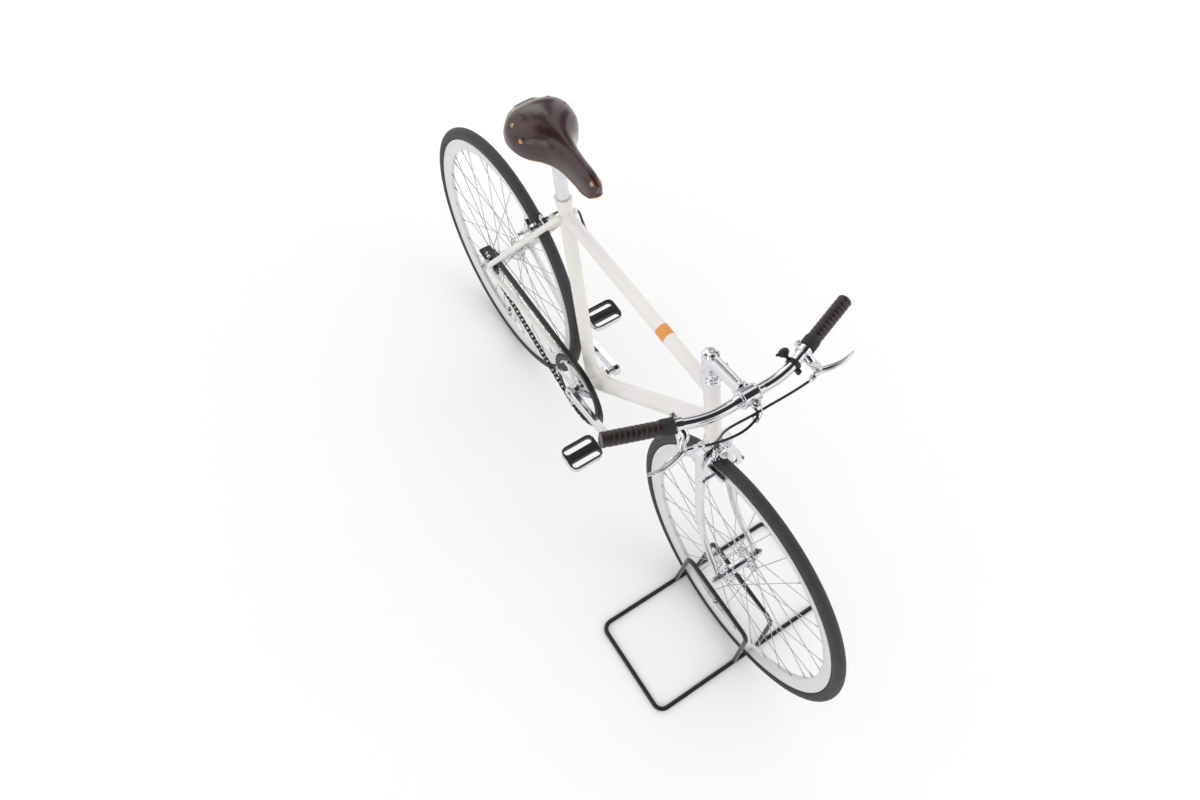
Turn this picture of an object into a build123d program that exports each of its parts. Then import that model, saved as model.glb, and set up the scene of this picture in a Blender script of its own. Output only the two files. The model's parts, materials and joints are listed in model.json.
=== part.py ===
from build123d import *
from math import acos, atan2, cos, degrees, pi, radians, sin, sqrt, tan
import os

# City bicycle parked in a wire floor stand. Millimetres, +X forwards, +Y to the rider's
# left, +Z up. The origin lies on the floor, midway between the two axles.

# ---- driving dimensions: wheels -----------------------------------------------------
WHEELBASE = 984.0
RIM_SEAT_RADIUS = 312.0
RIM_DEPTH = 30.0
RIM_WIDTH = 21.0
RIM_APEX_WIDTH = 9.0
BRAKE_TRACK = 13.0
TYRE_HEIGHT = 26.0
TYRE_WIDTH = 28.0
VALVE_RADIUS = 3.0
VALVE_LENGTH = 32.0
SPOKE_RADIUS = 1.0
SPOKES_PER_SIDE = 16
SPOKE_CROSSES = 3
HUB_BARREL = 12.0
REAR_BARREL = 14.0
HUB_BORE = 5.4
FLANGE_RADIUS = 33.0
FLANGE_THICKNESS = 3.0
FLANGE_OFFSET = 31.0
FLANGE_HOLE_RADIUS = 5.0
FLANGE_HOLES = 7
SPOKE_CIRCLE = 29.0
AXLE_RADIUS = 4.8
NUT_FLATS = 15.0
NUT_LENGTH = 9.0
LOCKNUT_FLATS = 17.0
LOCKNUT_LENGTH = 5.0
AXLE_STUB = 5.0
RUNNING_GAP = 0.3

# ---- driving dimensions: frame ------------------------------------------------------
TYRE_TO_BRACKET = 71.0
BRACKET_DROP = 44.0
SEAT_ANGLE = 72.2
HEAD_ANGLE = 72.1
FORK_OFFSET = 72.0
HEAD_TUBE_LENGTH = 160.0
HEAD_TUBE_RADIUS = 16.5
HEAD_TUBE_BORE = 14.5
SEAT_TUBE_LENGTH = 548.0
SEAT_TUBE_RADIUS = 15.5
SEAT_TUBE_BORE = 13.8
SEAT_BORE_DEPTH = 150.0
TOP_TUBE_RADIUS = 14.5
TOP_TUBE_BELOW_SEAT_TOP = 44.0
TOP_TUBE_BELOW_HEAD_TOP = 24.0
DOWN_TUBE_RADIUS = 19.0
DOWN_TUBE_ABOVE_HEAD_BOTTOM = 46.0
BAND_SHARE = 0.703
BAND_LENGTH = 26.0
BAND_THICKNESS = 0.6
SHELL_RADIUS = 20.5
SHELL_WIDTH = 68.0
SHELL_BORE = 17.2
CUP_RADIUS = 19.5
CUP_LIP = 5.0
STAY_RADIUS = 8.5
STAY_TIP_RADIUS = 7.0
CHAINSTAY_SPREAD = 21.0
SEATSTAY_RADIUS = 7.5
SEATSTAY_SPREAD = 20.0
BRIDGE_RADIUS = 6.0
TYRE_TO_BRIDGE = 24.0
REAR_SPACING = 120.0
DROPOUT_THICKNESS = 6.0
DROPOUT_RADIUS = 15.0
SLOT_LENGTH = 24.0
COLLAR_HEIGHT = 12.0
COLLAR_WALL = 2.5
COLLAR_BOLT_RADIUS = 4.0

# ---- driving dimensions: fork, stem and bar -----------------------------------------
TYRE_TO_CROWN = 5.0
CROWN_HEIGHT = 24.0
RACE_HEIGHT = 1.0
STEERER_RADIUS = 12.7
CUP_STACK = 12.0
CUP_OUTER = 19.5
LOCK_STACK = 21.0
LOCK_RADIUS = 14.5
BLADE_SPREAD = 31.0
BLADE_RADIUS = 12.0
BLADE_DEPTH = 14.0
BLADE_TIP_RADIUS = 6.5
BLADE_STRAIGHT = 0.52
FORK_SPACING = 100.0
FORK_END_THICKNESS = 5.0
FORK_END_RADIUS = 11.0
QUILL_RADIUS = 11.1
STEM_RISE = 58.0
STEM_HEAD_RADIUS = 17.0
STEM_HEAD_HEIGHT = 36.0
STEM_LENGTH = 106.3
STEM_ANGLE = 11.8
EXTENSION_RADIUS = 13.0
CLAMP_RADIUS = 17.5
CLAMP_WIDTH = 38.0
BAR_RADIUS = 11.1
BAR_CENTRE_RADIUS = 12.7
BAR_CENTRE_WIDTH = 66.0
BAR_TAPER = 16.0
BAR_HALF_WIDTH = 260.5
BAR_KNEE = 84.0
BAR_SWEEP_BACK = 57.0
BAR_RISE = 12.5
BAR_BEND_RADIUS = 240.0
GRIP_LENGTH = 120.0
GRIP_RADIUS = 15.8
GRIP_CAP = 4.0
GRIP_COLLAR_LENGTH = 25.0
GRIP_COLLAR_RADIUS = 17.3
LEVER_RING = 12.0
LEVER_REACH = 37.0
LEVER_DROP = 25.0
LEVER_LENGTH = 80.0
LEVER_BOW = 7.0
BELL_FROM_LEVER = 33.0
BELL_RADIUS = 10.0

# ---- driving dimensions: brakes -----------------------------------------------------
PAD_GAP = 2.0
PAD_BELOW_SEAT = 7.5
PAD_WIDTH = 8.0
PAD_LENGTH = 48.0
PAD_HEIGHT = 10.0
ARM_THICKNESS = 6.0
ARM_REACH = 44.0
ARM_WIDTH = 11.0
ARM_CROWN = 7.0
CABLE_RADIUS = 2.5
CABLE_SIDE = 20.0

# ---- driving dimensions: drive ------------------------------------------------------
CHAIN_LINE = 47.0
CHAIN_PITCH = 12.7
RING_TEETH = 48
COG_TEETH = 17
RING_THICKNESS = 2.6
RING_WIDTH = 16.0
ROLLER_RADIUS = 3.9
CHAIN_INNER = 3.8
LINK_THICKNESS = 1.0
LINK_GAP = 0.25
OUTER_LINK_HEIGHT = 8.6
INNER_LINK_HEIGHT = 7.2
FREEWHEEL_RADIUS = 21.0
SPINDLE_RADIUS = 8.5
CRANK_LENGTH = 165.0
CRANK_ANGLE = 11.0
CRANK_INNER = 58.5
CRANK_THICKNESS = 14.0
CRANK_BOSS_RADIUS = 17.0
CRANK_END_RADIUS = 12.0
DUST_CAP_RADIUS = 11.0
SPIDER_THICKNESS = 4.0
PEDAL_CENTRE = 140.0
PEDAL_WIDTH = 84.0
PEDAL_LENGTH = 62.0
PEDAL_THICKNESS = 18.0
PEDAL_CORNER = 13.0
PEDAL_RIM = 7.0
PEDAL_SLOT = 15.0
PEDAL_AXLE_RADIUS = 6.0
GUARD_GAP = 7.5
GUARD_THICKNESS = 2.0
GUARD_WIDTH = 12.0
GUARD_TO_CRANK = 5.5
GUARD_END_ANGLE = -15.0
GUARD_TAB_LENGTH = 36.0
GUARD_TAB_WIDTH = 31.0

# ---- driving dimensions: stand and saddle -------------------------------------------
STAND_AHEAD = 16.0
STAND_LENGTH = 246.0
STAND_WIDTH = 520.0
STAND_ROD = 5.5
STAND_CORNER = 22.0
HOOP_SPREAD = 36.0
HOOP_HEIGHT = 206.0
HOOP_LEAN = 10.0
SEATPOST_RADIUS = 13.6
SEATPOST_RISE = 103.2
SADDLE_LENGTH = 265.0
SADDLE_SETBACK = 117.0
SADDLE_WIDTH = 150.0
SADDLE_RISE = 72.0
LEATHER_THICKNESS = 4.5
RAIL_RADIUS = 3.5
RAIL_SPREAD = 22.0
RAIL_RISE = 14.0

Y = Vector(0, 1, 0)


# ---- derived places -----------------------------------------------------------------
def polar(angle):
    """Unit vector in the bicycle's plane, angle up from +X."""
    return Vector(cos(radians(angle)), 0, sin(radians(angle)))


TYRE_RADIUS = RIM_SEAT_RADIUS + TYRE_HEIGHT
CHAINSTAY = TYRE_RADIUS + TYRE_TO_BRACKET
REAR_AXLE = Vector(-WHEELBASE / 2, 0, TYRE_RADIUS)
FRONT_AXLE = Vector(WHEELBASE / 2, 0, TYRE_RADIUS)
BRACKET = REAR_AXLE + Vector(sqrt(CHAINSTAY**2 - BRACKET_DROP**2), 0, -BRACKET_DROP)
SEAT_DIR = polar(180 - SEAT_ANGLE)
STEER_DIR = polar(180 - HEAD_ANGLE)
STEER_AHEAD = polar(90 - HEAD_ANGLE)
STEER_FOOT = FRONT_AXLE - STEER_AHEAD * FORK_OFFSET
CROWN_FOOT = TYRE_RADIUS + TYRE_TO_CROWN
CROWN_TOP = CROWN_FOOT + CROWN_HEIGHT
HEAD_TUBE_START = CROWN_TOP + RACE_HEIGHT + CUP_STACK
HEAD_TUBE_END = HEAD_TUBE_START + HEAD_TUBE_LENGTH
STEM_AT = HEAD_TUBE_END + STEM_RISE
FORK_END_OUTER = FORK_SPACING / 2 + FORK_END_THICKNESS
REAR_END_OUTER = REAR_SPACING / 2 + DROPOUT_THICKNESS
STAND_CENTRE = FRONT_AXLE.X + STAND_AHEAD


def steer(along, ahead=0.0, side=0.0):
    """Point at a distance along the steering axis, ahead of it and to its left."""
    return STEER_FOOT + STEER_DIR * along + STEER_AHEAD * ahead + Y * side


SEAT_TOP = BRACKET + SEAT_DIR * SEAT_TUBE_LENGTH
SEAT_CLUSTER = SEAT_TOP - SEAT_DIR * TOP_TUBE_BELOW_SEAT_TOP
SEATPOST_HEAD = SEAT_TOP + SEAT_DIR * SEATPOST_RISE
TOP_AT_HEAD = steer(HEAD_TUBE_END - TOP_TUBE_BELOW_HEAD_TOP)
DOWN_AT_HEAD = steer(HEAD_TUBE_START + DOWN_TUBE_ABOVE_HEAD_BOTTOM)
TOP_TUBE_DIR = (TOP_AT_HEAD - SEAT_CLUSTER).normalized()


# ---- small helpers ------------------------------------------------------------------
def rod(start, end, radius, end_radius=None):
    """Round bar, tapered where an end radius is given."""
    plane = Plane(origin=start, z_dir=end - start)
    length = (end - start).length
    align = (Align.CENTER, Align.CENTER, Align.MIN)
    if end_radius is None or end_radius == radius:
        return plane * Cylinder(radius, length, align=align)
    return plane * Cone(radius, end_radius, length, align=align)


def across(centre, radius, near, far):
    """Round bar along Y between two side positions."""
    low, high = min(near, far), max(near, far)
    return rod(Vector(centre.X, low, centre.Z), Vector(centre.X, high, centre.Z), radius)


def bent_rod(points, radius, bend):
    """Rod of one section along straight runs joined by arcs."""
    path = FilletPolyline(*points, radius=bend)
    start = Plane(origin=path @ 0, z_dir=path % 0)
    return sweep(start * Circle(radius), path=path)


def turned(centre, profile):
    """Solid of revolution about the axle line: the profile lists (radius, side)."""
    face = make_face(Polyline(*profile, close=True))
    return Pos(*centre) * revolve(Plane.XY * face, axis=Axis.Y)


def turned_both_ways(centre, half_profile):
    """Solid of revolution whose profile is mirrored to the other side."""
    return turned(centre, half_profile + [(r, -y) for r, y in reversed(half_profile)])


def spun(profile):
    """Solid of revolution about the steering axis: the profile lists (radius, along)."""
    plane = Plane(origin=STEER_FOOT, x_dir=STEER_AHEAD, z_dir=-Y)
    face = plane * make_face(Polyline(*profile, close=True))
    return revolve(face, axis=Axis(STEER_FOOT, STEER_DIR))


def mirrored(part):
    return mirror(part, about=Plane.XZ)


def solids_of(part):
    return list(part.solids())


def both_sides(part):
    """The piece and its mirror image, as two solids that do not touch."""
    return Compound(children=[*solids_of(part), *solids_of(mirrored(part))])


def plate(centre, outline_face, near, far):
    """Face drawn in the XZ plane, made a plate between two side positions."""
    low, high = min(near, far), max(near, far)
    base = Plane(origin=(centre.X, high, centre.Z), x_dir=(1, 0, 0), z_dir=(0, -1, 0))
    return extrude(base * outline_face, amount=high - low)


def hexagon(flats):
    return RegularPolygon(flats / 2 / cos(pi / 6), 6)


parts = {}


def keep(name, shape):
    solids = solids_of(shape)
    parts[name] = solids[0] if len(solids) == 1 else Compound(children=solids)


# ---- wheels -------------------------------------------------------------------------
RIM_INNER = RIM_SEAT_RADIUS - RIM_DEPTH


def tyre(centre):
    bulge = TYRE_WIDTH / 2
    return turned_both_ways(centre, [
        (RIM_SEAT_RADIUS, RIM_WIDTH / 2),
        (RIM_SEAT_RADIUS + 0.5 * TYRE_HEIGHT, bulge),
        (TYRE_RADIUS, bulge * 0.36),
    ])


def rim(centre):
    """V-shaped rim with a brake track each side and the valve at the foot."""
    half = RIM_WIDTH / 2
    apex = RIM_APEX_WIDTH / 2
    body = turned_both_ways(centre, [
        (RIM_SEAT_RADIUS, half),
        (RIM_SEAT_RADIUS - BRAKE_TRACK, half),
        (RIM_INNER + 2.0, apex + 1.2),
        (RIM_INNER, apex),
    ])
    foot = centre - Vector(0, 0, RIM_INNER + 1)
    return body + rod(foot, foot + Vector(0, 0, VALVE_LENGTH), VALVE_RADIUS)


def spokes(centre, flange):
    """Crossed spokes of one wheel: each runs from a flange face to the rim."""
    made = []
    half = FLANGE_THICKNESS / 2
    flanges = across(centre, FLANGE_RADIUS, flange - half, flange + half)
    flanges += across(centre, FLANGE_RADIUS, -flange - half, -flange + half)
    step = 360 / SPOKES_PER_SIDE
    end_radius = RIM_INNER - RUNNING_GAP
    for side in (1, -1):
        for index in range(SPOKES_PER_SIDE):
            leading = 1 if index % 2 == 0 else -1
            phase = step / 4 if side > 0 else -step / 4
            hub_angle = step * index + phase
            rim_angle = hub_angle + leading * SPOKE_CROSSES * step
            face = flange + leading * (half + SPOKE_RADIUS)
            start = centre + polar(hub_angle) * SPOKE_CIRCLE + Y * side * face
            end = centre + polar(rim_angle) * end_radius + Y * side * (2.0 + leading)
            made.append(rod(start, end, SPOKE_RADIUS) - flanges)
    return Compound(children=[solid for one in made for solid in solids_of(one)])


def hub(centre, barrel, half_length):
    """Slim barrel between two high flanges, each lightened by a ring of holes."""
    half = FLANGE_THICKNESS / 2
    body = turned_both_ways(centre, [
        (HUB_BORE, half_length),
        (barrel - 2.0, half_length),
        (barrel - 2.0, FLANGE_OFFSET + half + 1.5),
        (barrel + 1.0, FLANGE_OFFSET + half),
        (FLANGE_RADIUS, FLANGE_OFFSET + half),
        (FLANGE_RADIUS, FLANGE_OFFSET - half),
        (barrel + 3.0, FLANGE_OFFSET - half),
        (barrel, FLANGE_OFFSET - half - 5.0),
    ])
    circle = (SPOKE_CIRCLE - 2.5 + barrel + 3.0) / 2
    for index in range(FLANGE_HOLES):
        at = centre + polar(360 / FLANGE_HOLES * index) * circle
        body -= across(at, FLANGE_HOLE_RADIUS, -FLANGE_OFFSET - 3, FLANGE_OFFSET + 3)
    return body


def axle(centre, inner, outer):
    """Axle with a locknut inside and a nut outside each plate, and a stub beyond."""
    reach = outer + NUT_LENGTH + AXLE_STUB
    bar = across(centre, AXLE_RADIUS, -reach, reach)
    for side in (1, -1):
        bar += plate(centre, hexagon(NUT_FLATS), side * outer, side * (outer + NUT_LENGTH))
        bar += plate(centre, hexagon(LOCKNUT_FLATS), side * (inner - LOCKNUT_LENGTH), side * inner)
    return bar


def build_wheels():
    front_half = FORK_SPACING / 2
    rear_half = REAR_SPACING / 2
    ahead_of_nut = LOCKNUT_LENGTH + RUNNING_GAP
    keep("front_tyre", tyre(FRONT_AXLE))
    keep("front_rim", rim(FRONT_AXLE))
    keep("front_spokes", spokes(FRONT_AXLE, FLANGE_OFFSET))
    keep("front_hub", hub(FRONT_AXLE, HUB_BARREL, front_half - ahead_of_nut))
    keep("rear_tyre", tyre(REAR_AXLE))
    keep("rear_rim", rim(REAR_AXLE))
    keep("rear_spokes", spokes(REAR_AXLE, FLANGE_OFFSET))
    keep("rear_hub", hub(REAR_AXLE, REAR_BARREL, rear_half - ahead_of_nut))
    keep("front_axle", axle(FRONT_AXLE, front_half, FORK_END_OUTER))
    keep("rear_axle", axle(REAR_AXLE, rear_half, REAR_END_OUTER))


# ---- frame --------------------------------------------------------------------------
def solid_seat():
    tube = rod(BRACKET, SEAT_TOP, SEAT_TUBE_RADIUS)
    return tube + across(BRACKET, SHELL_RADIUS, -SHELL_WIDTH / 2, SHELL_WIDTH / 2)


def seat_tube():
    bore = rod(SEAT_TOP - SEAT_DIR * SEAT_BORE_DEPTH, SEAT_TOP + SEAT_DIR, SEAT_TUBE_BORE)
    hole = across(BRACKET, SHELL_BORE, -SHELL_WIDTH, SHELL_WIDTH)
    return solid_seat() - bore - hole


def solid_head():
    return rod(steer(HEAD_TUBE_START), steer(HEAD_TUBE_END), HEAD_TUBE_RADIUS)


def head_tube():
    return solid_head() - rod(steer(HEAD_TUBE_START - 5), steer(HEAD_TUBE_END + 5), HEAD_TUBE_BORE)


def top_tube():
    return rod(SEAT_CLUSTER, TOP_AT_HEAD, TOP_TUBE_RADIUS) - solid_head() - solid_seat()


def down_tube():
    tube = rod(BRACKET, DOWN_AT_HEAD, DOWN_TUBE_RADIUS)
    return tube - solid_head() - solid_seat() - top_tube()


def band():
    """Thin sleeve round the top tube."""
    middle = SEAT_CLUSTER + (TOP_AT_HEAD - SEAT_CLUSTER) * BAND_SHARE
    start = middle - TOP_TUBE_DIR * BAND_LENGTH / 2
    end = middle + TOP_TUBE_DIR * BAND_LENGTH / 2
    bore = rod(start - TOP_TUBE_DIR, end + TOP_TUBE_DIR, TOP_TUBE_RADIUS + 0.1)
    return rod(start, end, TOP_TUBE_RADIUS + BAND_THICKNESS) - bore


DROP_Y = REAR_SPACING / 2 + DROPOUT_THICKNESS / 2


def dropouts():
    """Plates that open to the rear, with the axle in their slots."""
    face = Circle(DROPOUT_RADIUS) + Pos(14, 2.5) * Rectangle(30, 30)
    ear = plate(REAR_AXLE, face, REAR_SPACING / 2, REAR_END_OUTER)
    slot_face = Circle(AXLE_RADIUS)
    slot_face += Pos(-SLOT_LENGTH / 2, 0) * Rectangle(SLOT_LENGTH, 2 * AXLE_RADIUS)
    return both_sides(ear - plate(REAR_AXLE, slot_face, 0, 2 * DROP_Y))


def chain_stays():
    start = BRACKET + Y * CHAINSTAY_SPREAD
    end = REAR_AXLE + Vector(26, DROP_Y, 0)
    stay = rod(start, end, STAY_RADIUS, STAY_TIP_RADIUS)
    return both_sides(stay - solid_seat() - dropouts())


STAY_TOP = SEAT_CLUSTER + Y * SEATSTAY_SPREAD
STAY_FOOT = REAR_AXLE + Vector(14, DROP_Y, 14)
STAY_LINE = (STAY_FOOT - STAY_TOP).normalized()
SEATSTAY_DIR = (REAR_AXLE - SEAT_CLUSTER).normalized()
SEATSTAY_BACK = Vector(SEATSTAY_DIR.Z, 0, -SEATSTAY_DIR.X)
BRIDGE = REAR_AXLE - SEATSTAY_DIR * (TYRE_RADIUS + TYRE_TO_BRIDGE)


def seat_stays():
    stay = rod(STAY_TOP, STAY_FOOT, SEATSTAY_RADIUS)
    stay += Pos(*STAY_TOP) * Sphere(SEATSTAY_RADIUS)
    return both_sides(stay - solid_seat() - dropouts() - chain_stays() - top_tube())


def brake_bridge():
    bar = across(BRIDGE, BRIDGE_RADIUS, -DROP_Y, DROP_Y) - seat_stays()
    return min(solids_of(bar), key=lambda solid: abs(solid.center().Y))


def seat_collar():
    """Split clamp round the seat tube's top, its bolt behind."""
    start = SEAT_TOP - SEAT_DIR * COLLAR_HEIGHT
    forwards = Vector(SEAT_DIR.Z, 0, -SEAT_DIR.X)
    bolt_at = start + SEAT_DIR * COLLAR_HEIGHT / 2 - forwards * (SEAT_TUBE_RADIUS + 5.5)
    bolt = across(bolt_at, COLLAR_BOLT_RADIUS, -11, 11)
    lug = Plane(origin=bolt_at, x_dir=forwards, z_dir=(0, 1, 0)) * Box(11, 11, 12)
    return rod(start, SEAT_TOP, SEAT_TUBE_RADIUS + COLLAR_WALL) + lug + bolt - solid_seat()


def seatpost():
    """Plain post with a cross barrel whose two cheeks grip the saddle's rails."""
    base = SEAT_TOP - SEAT_DIR * (SEAT_BORE_DEPTH - 40)
    post = rod(base, SEATPOST_HEAD, SEATPOST_RADIUS)
    rail_at = SEATPOST_HEAD + Vector(0, 0, RAIL_RISE)
    cheek = RAIL_RADIUS + 3.5
    barrel = across(SEATPOST_HEAD, 11.0, -RAIL_SPREAD, RAIL_SPREAD)
    barrel += across(rail_at, 6.0, -RAIL_SPREAD - cheek - 5, RAIL_SPREAD + cheek + 5)
    cheeks = plate(rail_at, Circle(14.0), RAIL_SPREAD - cheek, RAIL_SPREAD + cheek)
    return post + barrel + cheeks + mirrored(cheeks) - saddle_rails()


def headset_cups():
    """Cups pressed into both ends of the head tube, each with a rounded lip."""
    solids = []
    for face, outwards in ((HEAD_TUBE_START, -1), (HEAD_TUBE_END, 1)):
        solids += solids_of(spun([
            (HEAD_TUBE_BORE, face),
            (CUP_OUTER - 2.5, face),
            (CUP_OUTER, face + outwards * CUP_STACK * 0.3),
            (CUP_OUTER, face + outwards * CUP_STACK * 0.75),
            (CUP_OUTER - 1.5, face + outwards * CUP_STACK),
            (HEAD_TUBE_BORE, face + outwards * CUP_STACK),
        ]))
    return Compound(children=solids)


def bracket_cups():
    face = SHELL_WIDTH / 2
    cup = across(BRACKET, CUP_RADIUS, face, face + CUP_LIP)
    cup += across(BRACKET, SHELL_BORE, face - 14, face)
    return both_sides(cup - across(BRACKET, SPINDLE_RADIUS + RUNNING_GAP, 0, 80))


def build_frame():
    keep("seat_tube", seat_tube())
    keep("head_tube", head_tube())
    keep("top_tube", top_tube())
    keep("down_tube", down_tube())
    keep("orange_band", band())
    keep("dropouts", dropouts())
    keep("chain_stays", chain_stays())
    keep("seat_stays", seat_stays())
    keep("brake_bridge", brake_bridge())
    keep("seat_collar", seat_collar())
    keep("seatpost", seatpost())
    keep("headset_cups", headset_cups())
    keep("bracket_cups", bracket_cups())


# ---- fork, stem and bar -------------------------------------------------------------
LOCK_FOOT = HEAD_TUBE_END + CUP_STACK + 0.6
STEERER_TOP = LOCK_FOOT + LOCK_STACK - 3.0


def blade_section(along, side, forward, width, depth):
    plane = Plane(origin=steer(along, forward, side), x_dir=STEER_AHEAD, z_dir=STEER_DIR)
    return plane * Ellipse(depth, width)


def crown():
    """Slot-shaped block whose rounded shoulders fall away to the blades."""
    half = BLADE_SPREAD + BLADE_DEPTH
    depth = 2 * BLADE_DEPTH + 1
    foot = Plane(origin=steer(CROWN_FOOT), x_dir=STEER_AHEAD, z_dir=STEER_DIR)
    block = extrude(foot * SlotOverall(2 * half, depth, rotation=90), amount=CROWN_HEIGHT)
    front = Plane(origin=steer(CROWN_FOOT, -depth), x_dir=(0, 1, 0), z_dir=STEER_AHEAD)
    edge, shoulder, top = half + 1, 0.35 * CROWN_HEIGHT, CUP_OUTER - 1
    bulge = ((edge + top) / 2 + 5, CROWN_HEIGHT * 0.82)
    outline = [
        *Polyline((-edge, shoulder), (-edge, -1), (edge, -1), (edge, shoulder)).edges(),
        ThreePointArc((edge, shoulder), bulge, (top, CROWN_HEIGHT)).edge(),
        Line((top, CROWN_HEIGHT), (-top, CROWN_HEIGHT)).edge(),
        ThreePointArc((-top, CROWN_HEIGHT), (-bulge[0], bulge[1]), (-edge, shoulder)).edge(),
    ]
    return block & extrude(front * make_face(outline), amount=2 * depth)


def blade():
    """Leg that runs straight, then rakes forwards, and tapers all the way."""
    top = CROWN_FOOT + 0.25 * CROWN_HEIGHT
    end_side = (FORK_SPACING + FORK_END_THICKNESS) / 2
    foot = 16.0
    steps = 7
    sections = []
    for index in range(steps):
        share = index / (steps - 1)
        bend = max(0.0, share - BLADE_STRAIGHT) / (1 - BLADE_STRAIGHT)
        sections.append(blade_section(
            top - (top - foot) * share,
            BLADE_SPREAD + (end_side - BLADE_SPREAD) * share,
            (FORK_OFFSET - 4) * bend**2,
            BLADE_RADIUS + (BLADE_TIP_RADIUS - BLADE_RADIUS) * share,
            BLADE_DEPTH + (BLADE_TIP_RADIUS - BLADE_DEPTH) * share,
        ))
    return loft(sections)


def fork():
    """Steerer, crown and two raked blades that taper to slotted ends."""
    steerer = rod(steer(CROWN_TOP - 5), steer(STEERER_TOP), STEERER_RADIUS)
    race = rod(steer(CROWN_TOP - 2), steer(CROWN_TOP + 0.7), CUP_OUTER - 1)
    end_low = FORK_SPACING / 2
    tip_face = Circle(FORK_END_RADIUS) + Pos(-5, 9) * Rectangle(13, 20)
    tip = plate(FRONT_AXLE, tip_face, end_low, FORK_END_OUTER)
    slot = Circle(AXLE_RADIUS) + Pos(0, -FORK_END_RADIUS) * Rectangle(
        2 * AXLE_RADIUS, 2 * FORK_END_RADIUS
    )
    inside = across(FRONT_AXLE, FORK_END_RADIUS + 4, 0, end_low)
    outside = across(FRONT_AXLE, FORK_END_RADIUS + 1, FORK_END_OUTER, FORK_SPACING)
    leg = blade() + tip - plate(FRONT_AXLE, slot, 0, FORK_SPACING) - inside - outside
    return steerer + race + crown() + leg + mirrored(leg)


def headset_lock():
    """Flared upper race and the ringed locknut above it."""
    neck = LOCK_FOOT + LOCK_STACK * 0.5
    top = LOCK_FOOT + LOCK_STACK
    return spun([
        (STEERER_RADIUS, LOCK_FOOT),
        (CUP_OUTER, LOCK_FOOT),
        (CUP_OUTER - 0.8, LOCK_FOOT + LOCK_STACK * 0.2),
        (LOCK_RADIUS + 1.2, LOCK_FOOT + LOCK_STACK * 0.42),
        (LOCK_RADIUS, neck),
        (LOCK_RADIUS, neck + 4.0),
        (LOCK_RADIUS - 0.9, neck + 4.6),
        (LOCK_RADIUS - 0.9, neck + 5.4),
        (LOCK_RADIUS - 0.2, neck + 6.0),
        (LOCK_RADIUS - 0.2, top - 0.8),
        (LOCK_RADIUS - 1.0, top),
        (STEERER_RADIUS, top),
    ])


STEM_JOINT = steer(STEM_AT)
BAR_CENTRE = STEM_JOINT + polar(STEM_ANGLE) * STEM_LENGTH
BAR_LOW = BAR_CENTRE + Vector(0, BAR_KNEE, 0)
BAR_END = BAR_CENTRE + Vector(-BAR_SWEEP_BACK, BAR_HALF_WIDTH, BAR_RISE)
GRIP_DIR = (BAR_LOW - BAR_END).normalized()


def opposite(point):
    """The same point on the other side of the bicycle."""
    return Vector(point.X, -point.Y, point.Z)


def handlebar():
    """Bar swept back to both grips, swelling to its clamped middle."""
    bar = bent_rod([opposite(BAR_END), opposite(BAR_LOW), BAR_LOW, BAR_END], BAR_RADIUS, BAR_BEND_RADIUS)
    flat = BAR_CENTRE_WIDTH / 2 - BAR_TAPER
    bar += across(BAR_CENTRE, BAR_CENTRE_RADIUS, -flat, flat)
    for side in (1, -1):
        start = BAR_CENTRE + Y * side * flat
        bar += rod(start, start + Y * side * BAR_TAPER, BAR_CENTRE_RADIUS, BAR_RADIUS - 0.05)
    return bar


def stem_head():
    """Round head on the quill column, with a domed cap and its socket."""
    foot = STEM_AT - STEM_HEAD_HEIGHT / 2
    top = STEM_AT + STEM_HEAD_HEIGHT / 2
    radius = STEM_HEAD_RADIUS
    head = spun([
        (0, STEERER_TOP),
        (QUILL_RADIUS, STEERER_TOP),
        (QUILL_RADIUS, foot - 5.0),
        (radius, foot + 3.0),
        (radius, top - 6.0),
        (radius * 0.85, top - 2.0),
        (radius * 0.5, top),
        (0, top + 0.5),
    ])
    socket = RegularPolygon(3.4, 6)
    return head - extrude(Plane(origin=steer(top - 4), z_dir=STEER_DIR) * socket, amount=8)


def stem():
    """Quill, head and extension, with a clamp split behind the bar."""
    arm = rod(STEM_JOINT, BAR_CENTRE, EXTENSION_RADIUS + 1, EXTENSION_RADIUS - 1)
    barrel = across(BAR_CENTRE, CLAMP_RADIUS, -CLAMP_WIDTH / 2, CLAMP_WIDTH / 2)
    lug_down = polar(STEM_ANGLE - 118)
    lug_at = BAR_CENTRE + lug_down * (CLAMP_RADIUS + 4)
    lug_plane = Plane(origin=lug_at, x_dir=(0, 1, 0), z_dir=lug_down)
    lug = lug_plane * Box(CLAMP_WIDTH * 0.62, 17, 16)
    bolt_line = polar(STEM_ANGLE - 28)
    bolt = rod(lug_at - bolt_line * 12, lug_at + bolt_line * 12, 4.5)
    slit = lug_plane * Box(CLAMP_WIDTH + 2, 1.6, 40)
    bore = across(BAR_CENTRE, BAR_CENTRE_RADIUS, -CLAMP_WIDTH, CLAMP_WIDTH)
    return stem_head() + arm + barrel + lug + bolt - slit - bore


GRIP_FOOT = BAR_END + GRIP_DIR * GRIP_LENGTH


def grips():
    """Wrapped sleeve over the bar's end, with a collar at its inner end."""
    grip = rod(BAR_END - GRIP_DIR * GRIP_CAP, GRIP_FOOT, GRIP_RADIUS)
    grip += rod(GRIP_FOOT - GRIP_DIR * GRIP_COLLAR_LENGTH, GRIP_FOOT, GRIP_COLLAR_RADIUS)
    return both_sides(grip - rod(BAR_END, GRIP_FOOT + GRIP_DIR * 5, BAR_RADIUS))


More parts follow.
